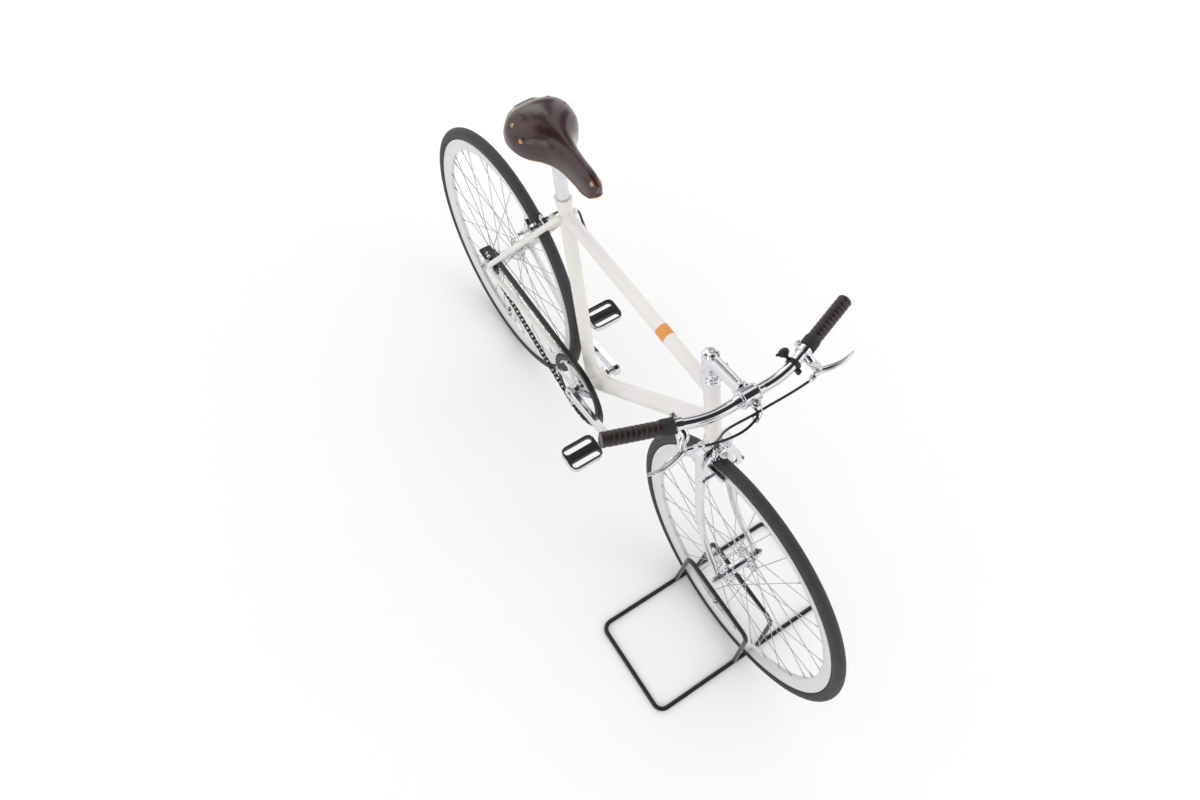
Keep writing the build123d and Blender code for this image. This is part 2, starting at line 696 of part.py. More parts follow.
LEVER_AT = GRIP_FOOT + GRIP_DIR * (LEVER_RING / 2 + 1.5)
LEVER_PIVOT = LEVER_AT + Vector(LEVER_REACH, 12, -LEVER_DROP)
LEVER_TIP = LEVER_PIVOT + Vector(5, LEVER_LENGTH, 4)
LEVER_EXIT = LEVER_PIVOT + Vector(10, -26, 6)


def lever_blade():
    """Flat blade that thins and bows forwards on its way to the tip."""
    middle = (LEVER_PIVOT + LEVER_TIP) / 2 + Vector(LEVER_BOW, 0, 0)
    path = Spline(LEVER_PIVOT, middle, LEVER_TIP)
    sections = []
    for share, height, thickness in ((0, 6.5, 4.2), (0.35, 6.5, 3.0), (0.8, 5.4, 2.6), (1, 3.2, 2.0)):
        plane = Plane(origin=path @ share, x_dir=(0, 0, 1), z_dir=path % share)
        sections.append(plane * Ellipse(height, thickness))
    return loft(sections)


def levers():
    """Clamp ring with its lug, arm, pivot boss, cable barrel and blade."""
    ring = rod(LEVER_AT - GRIP_DIR * LEVER_RING / 2, LEVER_AT + GRIP_DIR * LEVER_RING / 2, BAR_RADIUS + 3.5)
    lug = Pos(*(LEVER_AT - Vector(BAR_RADIUS + 5, 0, -3))) * Box(11, 9, 11)
    arm = rod(LEVER_AT, LEVER_PIVOT, 8.5, 6.5)
    boss = rod(LEVER_PIVOT - Vector(0, 0, 8), LEVER_PIVOT + Vector(0, 0, 8), 7.0)
    cable_line = (LEVER_EXIT - LEVER_PIVOT).normalized()
    barrel = rod(LEVER_PIVOT, LEVER_EXIT, 5.0, 4.2)
    barrel += rod(LEVER_EXIT - cable_line * 8, LEVER_EXIT - cable_line * 2, 5.6)
    collar_end = GRIP_FOOT + GRIP_DIR * RUNNING_GAP
    collar = rod(collar_end - GRIP_DIR * GRIP_COLLAR_LENGTH, collar_end, GRIP_COLLAR_RADIUS + RUNNING_GAP)
    return both_sides(ring + lug + arm + boss + barrel + lever_blade() - handlebar() - collar)


def bell():
    """Small thimble bell on a stalk behind its ring."""
    at = LEVER_AT + GRIP_DIR * BELL_FROM_LEVER
    ring = rod(at - GRIP_DIR * 4, at + GRIP_DIR * 4, BAR_RADIUS + 3.0)
    foot = at + Vector(-18, -3, 5)
    lean = Vector(-0.82, -0.2, 0.53).normalized()
    stalk = rod(at, foot, 4.0, 3.2)
    cup = rod(foot, foot + lean * 5, BELL_RADIUS * 0.45, BELL_RADIUS)
    cup += rod(foot + lean * 5, foot + lean * 10, BELL_RADIUS)
    cup += rod(foot + lean * 10, foot + lean * 13, BELL_RADIUS, BELL_RADIUS * 0.6)
    return ring + stalk + cup - handlebar()


def build_front():
    keep("fork", fork())
    keep("headset_lock", headset_lock())
    keep("stem", stem())
    keep("handlebar", handlebar())
    keep("grips", grips())
    keep("brake_levers", levers())
    keep("bell", bell())


# ---- brakes -------------------------------------------------------------------------
FRONT_STANDOFF = 7.0
REAR_STANDOFF = 4.2
ADJUSTER_RISE = 20.0
FRONT_BOLT = steer(CROWN_FOOT + CROWN_HEIGHT / 2 - 1, BLADE_DEPTH + 0.5 + FRONT_STANDOFF)
REAR_BOLT = BRIDGE + SEATSTAY_BACK * (BRIDGE_RADIUS + REAR_STANDOFF)
# Each brake: its bolt's foot, the way down to the pads, the way the arms stack, its
# wheel's axle, and how far the foot stands off what carries it.
FRONT_BRAKE = (FRONT_BOLT, STEER_DIR * -1, STEER_AHEAD, FRONT_AXLE, FRONT_STANDOFF)
REAR_BRAKE = (REAR_BOLT, SEATSTAY_DIR, SEATSTAY_BACK, REAR_AXLE, REAR_STANDOFF)


def block_reach(mount, down, outward, axle_centre):
    """Drop from a caliper's bolt to the middle of the rim's brake track."""
    start = mount + outward * ARM_THICKNESS - axle_centre
    along = start.dot(down)
    radius = RIM_SEAT_RADIUS - PAD_BELOW_SEAT
    return -along - sqrt(along**2 - start.dot(start) + radius**2)


def caliper_plane(mount, down, outward):
    """Plane of the arms: up leads away from the wheel, the cable is at minus x."""
    return Plane(origin=mount, x_dir=(down * -1).cross(outward), z_dir=outward)


def adjuster_top(mount, down, outward):
    """Where the cable runs into a brake's adjuster."""
    across_arms = (down * -1).cross(outward)
    return mount - down * ADJUSTER_RISE + outward * (1.5 * ARM_THICKNESS) - across_arms * CABLE_SIDE


def caliper_arm(reach, side):
    """Arch over the tyre with one leg down its side; the upper arm has the cable's ear."""
    centre = ARM_CROWN - ARM_REACH
    arch = Pos(0, centre) * Circle(ARM_REACH)
    arch -= Pos(0, centre - 2.5) * Circle(ARM_REACH - ARM_WIDTH)
    arch &= Pos(side * (ARM_REACH - 12), centre + ARM_REACH) * Rectangle(2 * ARM_REACH, 2 * ARM_REACH)
    low = reach + 6 + centre
    leg = Pos(side * (ARM_REACH - ARM_WIDTH / 2), centre - low / 2) * Rectangle(ARM_WIDTH, low)
    arm = arch + leg
    if side > 0:
        arm += Pos(-CABLE_SIDE / 2, 3) * Rectangle(CABLE_SIDE + 12, 9)
    return arm


def caliper(mount, down, outward, axle_centre, standoff):
    """Two stacked arms on a centre bolt, a cable adjuster, and a post to each pad."""
    reach = block_reach(mount, down, outward, axle_centre)
    plane = caliper_plane(mount, down, outward)
    body = extrude(plane * caliper_arm(reach, -1), amount=ARM_THICKNESS)
    body += extrude(plane * Pos(0, 0, ARM_THICKNESS) * caliper_arm(reach, 1), amount=ARM_THICKNESS)
    body += rod(mount - outward * standoff, mount + outward * (2 * ARM_THICKNESS + 5), 5.0)
    top = adjuster_top(mount, down, outward)
    body += rod(top, top + down * (ADJUSTER_RISE + 2), 4.0)
    post_at = mount + down * reach + outward * ARM_THICKNESS
    inner = RIM_WIDTH / 2 + PAD_GAP + PAD_WIDTH
    for side in (1, -1):
        body += rod(post_at + Y * side * inner, post_at + Y * side * (ARM_REACH + 4), 4.0)
    return body


def pads(mount, down, outward, axle_centre):
    """Rubber blocks inside the arms' lower ends, beside the rim's brake track."""
    reach = block_reach(mount, down, outward, axle_centre)
    side = RIM_WIDTH / 2 + PAD_GAP + PAD_WIDTH / 2
    centre = mount + down * reach + outward * ARM_THICKNESS + Y * side
    plane = Plane(origin=centre, x_dir=outward, z_dir=down)
    return both_sides(plane * Box(PAD_LENGTH, PAD_WIDTH, PAD_HEIGHT))


def build_brakes():
    keep("front_caliper", caliper(*FRONT_BRAKE))
    keep("front_brake_pads", pads(*FRONT_BRAKE[:4]))
    keep("rear_caliper", caliper(*REAR_BRAKE))
    keep("rear_brake_pads", pads(*REAR_BRAKE[:4]))


# ---- drive --------------------------------------------------------------------------
RING_RADIUS = CHAIN_PITCH / 2 / sin(pi / RING_TEETH)
COG_RADIUS = CHAIN_PITCH / 2 / sin(pi / COG_TEETH)
BACKWARDS = atan2(REAR_AXLE.Z - BRACKET.Z, REAR_AXLE.X - BRACKET.X)
WRAP = acos((RING_RADIUS - COG_RADIUS) / CHAINSTAY)
CHAIN_RUN = CHAINSTAY * sin(WRAP)
RING_ARC = RING_RADIUS * 2 * (pi - WRAP)
COG_ARC = COG_RADIUS * 2 * WRAP
CHAIN_LENGTH = RING_ARC + COG_ARC + 2 * CHAIN_RUN
LINKS = 2 * round(CHAIN_LENGTH / CHAIN_PITCH / 2)


def pitch_point(distance):
    """Place of a chain pin, that far forwards from the top of the chainring."""
    upper = polar(degrees(BACKWARDS - WRAP))
    lower = polar(degrees(BACKWARDS + WRAP))
    if distance < RING_ARC:
        return BRACKET + polar(degrees(BACKWARDS - WRAP - distance / RING_RADIUS)) * RING_RADIUS
    distance -= RING_ARC
    if distance < CHAIN_RUN:
        start, end = BRACKET + lower * RING_RADIUS, REAR_AXLE + lower * COG_RADIUS
        return start + (end - start) * (distance / CHAIN_RUN)
    distance -= CHAIN_RUN
    if distance < COG_ARC:
        return REAR_AXLE + polar(degrees(BACKWARDS + WRAP - distance / COG_RADIUS)) * COG_RADIUS
    distance -= COG_ARC
    start, end = REAR_AXLE + upper * COG_RADIUS, BRACKET + upper * RING_RADIUS
    return start + (end - start) * (distance / CHAIN_RUN)


def toothed(teeth, pitch_radius, phase):
    """Sprocket outline: pointed teeth between roller seats, a seat at the phase."""
    points = []
    root = pitch_radius - ROLLER_RADIUS - 0.5
    tip = pitch_radius + 2.2
    step = 360 / teeth
    for index in range(teeth):
        middle = phase + (index + 0.5) * step
        for share, radius in ((-0.34, root), (-0.09, tip), (0.09, tip), (0.34, root)):
            angle = radians(middle + share * step)
            points.append((radius * cos(angle), radius * sin(angle)))
    return make_face(Polyline(*points, close=True))


def chain():
    """Inner and outer link plates in turn, two of each side by side."""
    pins = [pitch_point(CHAIN_LENGTH * index / LINKS) for index in range(LINKS)]
    inner_side = (CHAIN_INNER + LINK_THICKNESS) / 2
    solids = []
    for index, pin in enumerate(pins):
        after = pins[(index + 1) % LINKS]
        outer = index % 2
        side = inner_side + outer * (LINK_THICKNESS + LINK_GAP)
        height = OUTER_LINK_HEIGHT if outer else INNER_LINK_HEIGHT
        link = Box((after - pin).length + height - 1.4, height, LINK_THICKNESS)
        for place in (-CHAIN_LINE - side, -CHAIN_LINE + side):
            middle = (pin + after) / 2 + Y * place
            solids += solids_of(Plane(origin=middle, x_dir=after - pin, z_dir=Y) * link)
    return Compound(children=solids)


def rear_cog():
    """Sprocket on its freewheel body, which runs round the hub's end."""
    phase = degrees(BACKWARDS + WRAP)
    half = RING_THICKNESS / 2
    cog = plate(REAR_AXLE, toothed(COG_TEETH, COG_RADIUS, phase), -CHAIN_LINE - half, -CHAIN_LINE + half)
    body_inner = FLANGE_OFFSET + FLANGE_THICKNESS / 2 + 2.5
    body_outer = REAR_SPACING / 2 - LOCKNUT_LENGTH - RUNNING_GAP
    cog += across(REAR_AXLE, FREEWHEEL_RADIUS, -body_outer, -body_inner)
    return cog - across(REAR_AXLE, REAR_BARREL - 2.0 + RUNNING_GAP, -body_outer - 1, -body_inner + 1)


def crank_arm(end, near, far):
    """Arm that narrows from the spindle's boss to the pedal's eye, edges eased outside."""
    direction = (end - BRACKET).normalized()
    length = (end - BRACKET).length
    low, high = min(near, far), max(near, far)
    plane = Plane(origin=(BRACKET.X, low, BRACKET.Z), x_dir=direction, z_dir=(0, 1, 0))
    eye = Pos(length, 0) * Circle(CRANK_END_RADIUS)
    outline = make_hull(Circle(CRANK_BOSS_RADIUS).edges() + eye.edges())
    arm = extrude(plane * outline, amount=high - low)
    outside = arm.faces().sort_by(Axis.Y)[-1 if far > 0 else 0]
    return chamfer(outside.edges(), 2.5)


def spider():
    """Five tapered arms behind the crank that carry the chainring."""
    face = Circle(28)
    for index in range(5):
        tip = Pos(RING_RADIUS - 13, 0) * Circle(6.5)
        arm = make_hull((Pos(20, 0) * Circle(12)).edges() + tip.edges())
        face += Rot(0, 0, CRANK_ANGLE + 36 + 72 * index) * arm
    return face


def build_cranks(right_end, left_end):
    outer_side = CRANK_INNER + CRANK_THICKNESS
    spindle_reach = outer_side - 4
    bore = across(BRACKET, SPINDLE_RADIUS, -spindle_reach, spindle_reach)
    ring_outside = CHAIN_LINE + RING_THICKNESS / 2
    right = crank_arm(right_end, -CRANK_INNER, -outer_side)
    right += plate(BRACKET, spider(), -ring_outside - SPIDER_THICKNESS, -ring_outside)
    right += across(BRACKET, CRANK_BOSS_RADIUS, -ring_outside, -CRANK_INNER - 3)
    right += across(BRACKET, DUST_CAP_RADIUS, -outer_side, -outer_side - 1.5)
    left = crank_arm(left_end, CRANK_INNER, outer_side)
    left += across(BRACKET, DUST_CAP_RADIUS, outer_side, outer_side + 1.5)
    keep("right_crank", right - bore)
    keep("left_crank", left - bore)
    keep("spindle", across(BRACKET, SPINDLE_RADIUS, -spindle_reach, spindle_reach))


def slot_face(length, width, corner):
    """Rectangle whose corners are cut off at an angle."""
    x, y = length / 2, width / 2
    half = [(x, y - corner), (x - corner, y), (corner - x, y), (-x, y - corner)]
    return make_face(Polyline(*half, *[(-u, -v) for u, v in half], close=True))


def pedal(name, centre, side):
    """Platform pedal: a frame with two long openings on a stepped axle."""
    crank_face = CRANK_INNER + CRANK_THICKNESS
    reach = PEDAL_CENTRE + PEDAL_WIDTH / 2 - PEDAL_RIM
    keep(f"{name}_pedal_axle", across(centre, PEDAL_AXLE_RADIUS, side * crank_face, side * reach))
    plane = Plane(origin=(centre.X, side * PEDAL_CENTRE, centre.Z - PEDAL_THICKNESS / 2))
    outline = slot_face(PEDAL_LENGTH, PEDAL_WIDTH, PEDAL_CORNER)
    offset = PEDAL_LENGTH / 2 - PEDAL_RIM - PEDAL_SLOT / 2
    for place in (offset, -offset):
        outline -= Pos(place, 0) * slot_face(PEDAL_SLOT, PEDAL_WIDTH - 2 * PEDAL_RIM, 5.0)
    body = extrude(plane * outline, amount=PEDAL_THICKNESS)
    bore = across(centre, PEDAL_AXLE_RADIUS + RUNNING_GAP, side * (crank_face - 20), side * (reach + 1))
    keep(f"{name}_pedal", body - bore)


def build_drive():
    phase = degrees(BACKWARDS - WRAP)
    half = RING_THICKNESS / 2
    ring_face = toothed(RING_TEETH, RING_RADIUS, phase) - Circle(RING_RADIUS - RING_WIDTH)
    keep("chainring", plate(BRACKET, ring_face, -CHAIN_LINE - half, -CHAIN_LINE + half))
    keep("chain", chain())
    keep("rear_cog", rear_cog())
    right_end = BRACKET + polar(CRANK_ANGLE) * CRANK_LENGTH
    left_end = BRACKET - polar(CRANK_ANGLE) * CRANK_LENGTH
    build_cranks(right_end, left_end)
    pedal("right", right_end, -1)
    pedal("left", left_end, 1)
    keep("chain_guard", chain_guard())


def tangent_loop(offset):
    """Outline of the chain loop at an offset from the pitch line, as a face."""
    away = REAR_AXLE - BRACKET
    small = Pos(away.X, away.Z) * Circle(COG_RADIUS + offset)
    return make_hull(Circle(RING_RADIUS + offset).edges() + small.edges())


def chain_guard():
    """Narrow strip over the chain and round the chainring's front, and its rear tab."""
    strip = tangent_loop(GUARD_GAP + GUARD_THICKNESS) - tangent_loop(GUARD_GAP)
    wide = 3 * CHAINSTAY
    above = Rot(0, 0, degrees(BACKWARDS) - 180) * (Pos(0, wide / 2) * Rectangle(2 * wide, wide))
    above &= Pos(REAR_AXLE.X - BRACKET.X + wide, 0) * Rectangle(2 * wide, 2 * wide)
    front = Pos(wide / 2, -wide / 2) * Rectangle(wide, wide)
    front &= Rot(0, 0, GUARD_END_ANGLE) * (Pos(0, wide / 2) * Rectangle(2 * wide, wide))
    outer_side = CRANK_INNER - GUARD_TO_CRANK
    guard = plate(BRACKET, strip & (above + front), -outer_side, GUARD_WIDTH - outer_side)
    tab_top = COG_RADIUS + GUARD_GAP + GUARD_THICKNESS
    tab_side = (GUARD_WIDTH - outer_side - DROP_Y - 8) / 2
    tab_width = GUARD_TAB_WIDTH + 1
    at = REAR_AXLE + Vector(2.5 - GUARD_TAB_LENGTH / 2 + 12, tab_side, tab_top - GUARD_THICKNESS / 2)
    tab = Pos(*at) * extrude(RectangleRounded(GUARD_TAB_LENGTH, tab_width, 5), GUARD_THICKNESS / 2, both=True)
    stay = mirrored(rod(STAY_TOP, STAY_FOOT, SEATSTAY_RADIUS + RUNNING_GAP))
    bolt_at = Vector(at.X - 4, -DROP_Y, at.Z)
    bolt = rod(bolt_at - Vector(0, 0, 4), bolt_at + Vector(0, 0, 4.5), 4.5)
    return guard + tab + bolt - stay


# ---- cables -------------------------------------------------------------------------
def corner_radii(points):
    """Largest arc at each corner that leaves a tenth of its shorter run straight."""
    radii = []
    for before, here, after in zip(points, points[1:], points[2:]):
        first = here - before
        second = after - here
        turn = radians(first.get_angle(second))
        radii.append(0.45 * min(first.length, second.length) / tan(turn / 2))
    return radii


def cable(points):
    path = FilletPolyline(*points, radius=corner_radii(points))
    return sweep(Plane(origin=path @ 0, z_dir=path % 0) * Circle(CABLE_RADIUS), path=path)


CABLE_STRAIGHT = 22.0
CABLE_INTO_FRONT = 30.0
CABLE_INTO_REAR = 45.0
CLIP_FROM_HEAD = 66.0
CLIP_FROM_SEAT = 70.0
CABLE_JOINT = steer(HEAD_TUBE_END + CUP_STACK + 1, 0, CUP_OUTER + 14.5)
# Places each loop passes between its lever and its brake, from the bar's clamped middle.
FRONT_LOOP = ((33, 90, -7), (34, 50, -3), (35, 15, 3), (32, -12, -8), (24, -42, -27), (13, -48, -67),
              (4, -40, -127))
REAR_LOOP = ((37, -98, -19), (42, -60, -27), (43, -30, -27), (39, -6, -15), (28, 8, -24), (12, 14, -38),
             (-18, 8, -38), (-45, 10, -46))


def from_bar(offsets):
    return [BAR_CENTRE + Vector(*offset) for offset in offsets]


def build_cables():
    """Each cable leaves a lever's barrel and ends in a brake's adjuster."""
    front_end = adjuster_top(*FRONT_BRAKE[:3])
    keep("front_brake_cable", cable(
        [LEVER_EXIT] + from_bar(FRONT_LOOP) + [front_end + STEER_DIR * CABLE_INTO_FRONT, front_end]
    ))
    keep("rear_brake_cable_loop", cable(
        [opposite(LEVER_EXIT)] + from_bar(REAR_LOOP) + [CABLE_JOINT + STEER_DIR * CABLE_STRAIGHT, CABLE_JOINT]
    ))
    offset = (TOP_TUBE_RADIUS + BAND_THICKNESS + CABLE_RADIUS + RUNNING_GAP) / sqrt(2)
    under = Vector(0, offset, -offset)
    rear_end = adjuster_top(*REAR_BRAKE[:3])
    keep("rear_brake_cable", cable([
        CABLE_JOINT,
        CABLE_JOINT - STEER_DIR * CABLE_STRAIGHT,
        TOP_AT_HEAD - TOP_TUBE_DIR * 0.4 * CLIP_FROM_HEAD + Vector(0, 25, -8),
        TOP_AT_HEAD - TOP_TUBE_DIR * CLIP_FROM_HEAD + under + Vector(0, 2, -1),
        SEAT_CLUSTER + TOP_TUBE_DIR * CLIP_FROM_SEAT + under,
        SEAT_CLUSTER + TOP_TUBE_DIR * 0.4 * CLIP_FROM_SEAT + Vector(0, 24, -12),
        SEAT_CLUSTER - TOP_TUBE_DIR * 8 + Vector(0, 37, -14),
        STAY_TOP + STAY_LINE * 60 + Y * 14 + SEATSTAY_BACK * 8,
        rear_end - SEATSTAY_DIR * CABLE_INTO_REAR,
        rear_end,
    ]))


# ---- floor stand --------------------------------------------------------------------
def build_stand():
    x_rear = STAND_CENTRE - STAND_LENGTH / 2
    x_front = STAND_CENTRE + STAND_LENGTH / 2
    outline = RectangleRounded(STAND_LENGTH, STAND_WIDTH, STAND_CORNER)
    path = (Pos(STAND_CENTRE, 0, STAND_ROD) * outline).wire()
    ring = sweep(Plane(origin=path @ 0, z_dir=path % 0) * Circle(STAND_ROD), path=path)
    keep("stand_floor_loop", ring)
    top = HOOP_HEIGHT - STAND_ROD
    hoop = bent_rod([
        (x_rear, HOOP_SPREAD, STAND_ROD),
        (x_rear + HOOP_LEAN, HOOP_SPREAD, top),
        (x_front - HOOP_LEAN, HOOP_SPREAD, top),
        (x_front, HOOP_SPREAD, STAND_ROD),
    ], STAND_ROD, STAND_CORNER)
    keep("stand_hoops", both_sides(hoop - ring))


# ---- saddle -------------------------------------------------------------------------
SADDLE_REAR = SEATPOST_HEAD.X - SADDLE_SETBACK
WIRE_END_DROP = 43.0
# Each station: share of the length, half width as a share of half the whole width, and
# heights of the crown and of the skirt's edge below the saddle's highest line.
SADDLE_STATIONS = (
    (0.00, 0.42, 29, 42),
    (0.075, 0.80, 14, 50),
    (0.16, 0.98, 3, 58),
    (0.25, 1.00, 0, 62),
    (0.38, 0.82, 1, 65),
    (0.49, 0.50, 4, 63),
    (0.61, 0.33, 7, 58),
    (0.79, 0.27, 8, 54),
    (0.94, 0.23, 11, 52),
    (1.00, 0.10, 17, 44),
)


def saddle_form(inset):
    """Crowned saddle shape, drawn in from the leather's outside by an inset."""
    top_line = SEATPOST_HEAD.Z + SADDLE_RISE
    length = SADDLE_LENGTH - 2 * inset
    open_below = 3.0 if inset else 0.0
    sections = []
    for share, half_share, crown_drop, skirt_drop in SADDLE_STATIONS:
        outside = SADDLE_WIDTH / 2 * half_share
        half = max(outside - inset, outside * 0.6)
        top = top_line - crown_drop - inset
        foot = top_line - skirt_drop - open_below
        side = [(half, foot), (0.78 * half, top - 0.30 * (top - foot)), (0.45 * half, top - 0.08 * (top - foot))]
        arc = Spline(*side, (0, top), *[(-y, z) for y, z in reversed(side)])
        line = Polyline((-half, foot), (half, foot))
        plane = Plane(origin=(SADDLE_REAR + inset + length * share, 0, 0), x_dir=(0, 1, 0), z_dir=(1, 0, 0))
        sections.append(plane * make_face(line.edges() + arc.edges()))
    return loft(sections)


def slab(start, end):
    """Everything between two places along the saddle, down to the level of its wires."""
    height = 2 * SADDLE_RISE
    foot = SEATPOST_HEAD.Z + SADDLE_RISE - WIRE_END_DROP - 2 * RAIL_RADIUS
    return Pos((start + end) / 2, 0, foot + height / 2) * Box(end - start, 2 * SADDLE_WIDTH, height)


def saddle_rails():
    """Cantle plate and nose block under the leather, joined by two wires over the post."""
    seat_height = SEATPOST_HEAD.Z + RAIL_RISE
    end_height = SEATPOST_HEAD.Z + SADDLE_RISE - WIRE_END_DROP
    nose = SADDLE_REAR + SADDLE_LENGTH
    inside = saddle_form(LEATHER_THICKNESS)
    ends = inside & (slab(SADDLE_REAR + 24, SADDLE_REAR + 29) + slab(nose - 32, nose - 20))
    wire = bent_rod([
        (SADDLE_REAR + 26, RAIL_SPREAD + 8, end_height),
        (SEATPOST_HEAD.X - 42, RAIL_SPREAD, seat_height),
        (SEATPOST_HEAD.X + 24, RAIL_SPREAD, seat_height),
        (SEATPOST_HEAD.X + 50, RAIL_SPREAD / 2, seat_height),
        (nose - 26, RAIL_SPREAD / 3, end_height),
    ], RAIL_RADIUS, 20)
    return ends + wire + mirrored(wire)


def build_saddle():
    keep("saddle", saddle_form(0.0) - saddle_form(LEATHER_THICKNESS))
    keep("saddle_rails", saddle_rails())


build_wheels()
build_frame()
build_front()
build_brakes()
build_drive()
build_cables()
build_stand()
build_saddle()

os.makedirs("parts", exist_ok=True)
for name, shape in parts.items():
    export_step(shape, f"parts/{name}.step")
print(len(parts), "nodes")
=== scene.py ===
"""Dresses a city bicycle in its wire floor stand: finishes, fine pieces, lights and camera."""

import json
import math

import bpy
from bpy.props import FloatProperty, FloatVectorProperty, IntProperty, PointerProperty
from mathutils import Matrix, Vector


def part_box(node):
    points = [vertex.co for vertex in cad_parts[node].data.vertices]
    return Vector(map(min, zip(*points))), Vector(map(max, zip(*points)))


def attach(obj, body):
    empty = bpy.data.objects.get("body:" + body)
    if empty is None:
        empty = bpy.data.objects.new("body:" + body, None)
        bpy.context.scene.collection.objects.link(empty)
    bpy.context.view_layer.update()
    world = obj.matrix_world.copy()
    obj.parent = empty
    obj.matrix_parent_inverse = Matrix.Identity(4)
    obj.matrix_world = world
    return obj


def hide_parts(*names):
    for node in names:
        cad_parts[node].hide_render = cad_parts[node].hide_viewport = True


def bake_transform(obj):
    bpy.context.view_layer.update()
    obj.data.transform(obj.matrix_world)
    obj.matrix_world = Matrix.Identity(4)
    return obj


bl_info = {
    "name": "City Bicycle Dressing",
    "version": (1, 0, 0),
    "blender": (4, 5, 0),
    "location": "View3D > Sidebar > Bicycle",
    "description": "Finishes and fine pieces for a city bicycle, laid over its fixed frame",
    "category": "Object",
}

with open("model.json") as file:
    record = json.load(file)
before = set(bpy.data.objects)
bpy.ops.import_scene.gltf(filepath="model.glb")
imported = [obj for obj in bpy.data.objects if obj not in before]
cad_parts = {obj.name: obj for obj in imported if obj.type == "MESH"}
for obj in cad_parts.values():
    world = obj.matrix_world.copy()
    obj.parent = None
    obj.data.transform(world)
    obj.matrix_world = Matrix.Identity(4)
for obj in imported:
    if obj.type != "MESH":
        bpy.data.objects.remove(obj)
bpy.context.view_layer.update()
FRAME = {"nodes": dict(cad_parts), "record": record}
NODES = FRAME["nodes"]


# ---- places read from the frame -----------------------------------------------------
def low(node):
    return Vector(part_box(node)[0])


def high(node):
    return Vector(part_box(node)[1])


def middle(node):
    return (low(node) + high(node)) / 2


def polar(degrees):
    """Unit vector in the bicycle's plane, angle up from +X."""
    return Vector((math.cos(math.radians(degrees)), 0.0, math.sin(math.radians(degrees))))


Y = Vector((0.0, 1.0, 0.0))
UP = Vector((0.0, 0.0, 1.0))
JOINTS = {joint["name"]: joint for joint in FRAME["record"]["behaviour"]["joints"]}
STEER_PLACE = Vector(JOINTS["steering"]["pos_m"])
STEER_DIR = Vector(JOINTS["steering"]["axis"])
STEER_AHEAD = Y.cross(STEER_DIR)
HUBS = {"front": middle("front_hub"), "rear": middle("rear_hub")}
BRACKET = middle("spindle")
BAR_MIDDLE_RADIUS = 0.0127
BAR_CENTRE = Vector((high("handlebar").x - BAR_MIDDLE_RADIUS, 0.0, low("handlebar").z + BAR_MIDDLE_RADIUS))
BAR_END = BAR_CENTRE + Vector((-0.057, 0.2605, 0.0125))
GRIP_DIR = (BAR_CENTRE + Vector((0.0, 0.084, 0.0)) - BAR_END).normalized()
GRIP_FOOT = BAR_END + GRIP_DIR * 0.120
LEVER_AT = GRIP_FOOT + GRIP_DIR * 0.0075
LEVER_PIVOT = LEVER_AT + Vector((0.037, 0.012, -0.025))
LEVER_EXIT = LEVER_PIVOT + Vector((0.010, -0.026, 0.006))
CLUSTER = Vector((-0.23944, 0.0, 0.77387))


def steer(along, ahead=0.0, side=0.0):
    """Point at a distance up the steering axis, ahead of it and to its left."""
    return STEER_PLACE + STEER_DIR * (along - 0.460) + STEER_AHEAD * ahead + Y * side


def opposite(point):
    return Vector((point.x, -point.y, point.z))


# How a point on the left is carried to each side: 1 is left, -1 is right.
SIDES = {1: Vector, -1: opposite}


HEAD_JOIN = steer(0.516)
TOP_TUBE_AHEAD = (HEAD_JOIN - CLUSTER).normalized()
BELOW_LEFT = Vector((0.0, 0.0127, -0.0127))

# Each brake: its bolt's foot, the way down to its pads, the way its arms stack, its body.
STAY_BACK = polar(149.91)
BRAKES = {
    "front": (steer(0.354, 0.0215), -STEER_DIR, STEER_AHEAD, "front_end"),
    "rear": (middle("brake_bridge") + STAY_BACK * 0.0102, polar(239.91), STAY_BACK, "frame"),
}


# ---- modelling steps ----------------------------------------------------------------
def begin(add, **settings):
    """Adds one primitive with nothing else selected."""
    bpy.ops.object.select_all(action="DESELECT")
    add(**settings)
    return bpy.context.object


def only(obj):
    bpy.ops.object.select_all(action="DESELECT")
    obj.select_set(True)
    bpy.context.view_layer.objects.active = obj


def along(place, axis):
    """Matrix that stands a piece drawn up Z at a place, up another axis."""
    turn = axis.to_track_quat("Z", "Y").to_matrix().to_4x4()
    return Matrix.Translation(place) @ turn


def settle(obj, matrix=None):
    """Moves a piece to its place, which then goes into its mesh."""
    only(obj)
    if matrix is not None:
        obj.matrix_world = matrix
    bpy.ops.object.transform_apply(location=True, rotation=True, scale=True)
    return obj


def choose(obj, kind, wanted):
    """Selects the faces, edges or vertices that a test picks, and stays in edit mode."""
    bpy.ops.object.mode_set(mode="EDIT")
    bpy.ops.mesh.select_mode(type=kind)
    bpy.ops.mesh.select_all(action="DESELECT")
    bpy.ops.object.mode_set(mode="OBJECT")
    for element in {"FACE": obj.data.polygons, "EDGE": obj.data.edges, "VERT": obj.data.vertices}[kind]:
        element.select = wanted(element)
    bpy.ops.object.mode_set(mode="EDIT")


def close_shape(angle=35.0):
    """Merges doubles, points the faces outwards and smooths all but sharp edges."""
    bpy.ops.object.mode_set(mode="EDIT")
    bpy.ops.mesh.select_all(action="SELECT")
    bpy.ops.mesh.remove_doubles(threshold=0.000002)
    bpy.ops.mesh.normals_make_consistent(inside=False)
    bpy.ops.object.mode_set(mode="OBJECT")
    bpy.ops.object.shade_smooth_by_angle(angle=math.radians(angle))


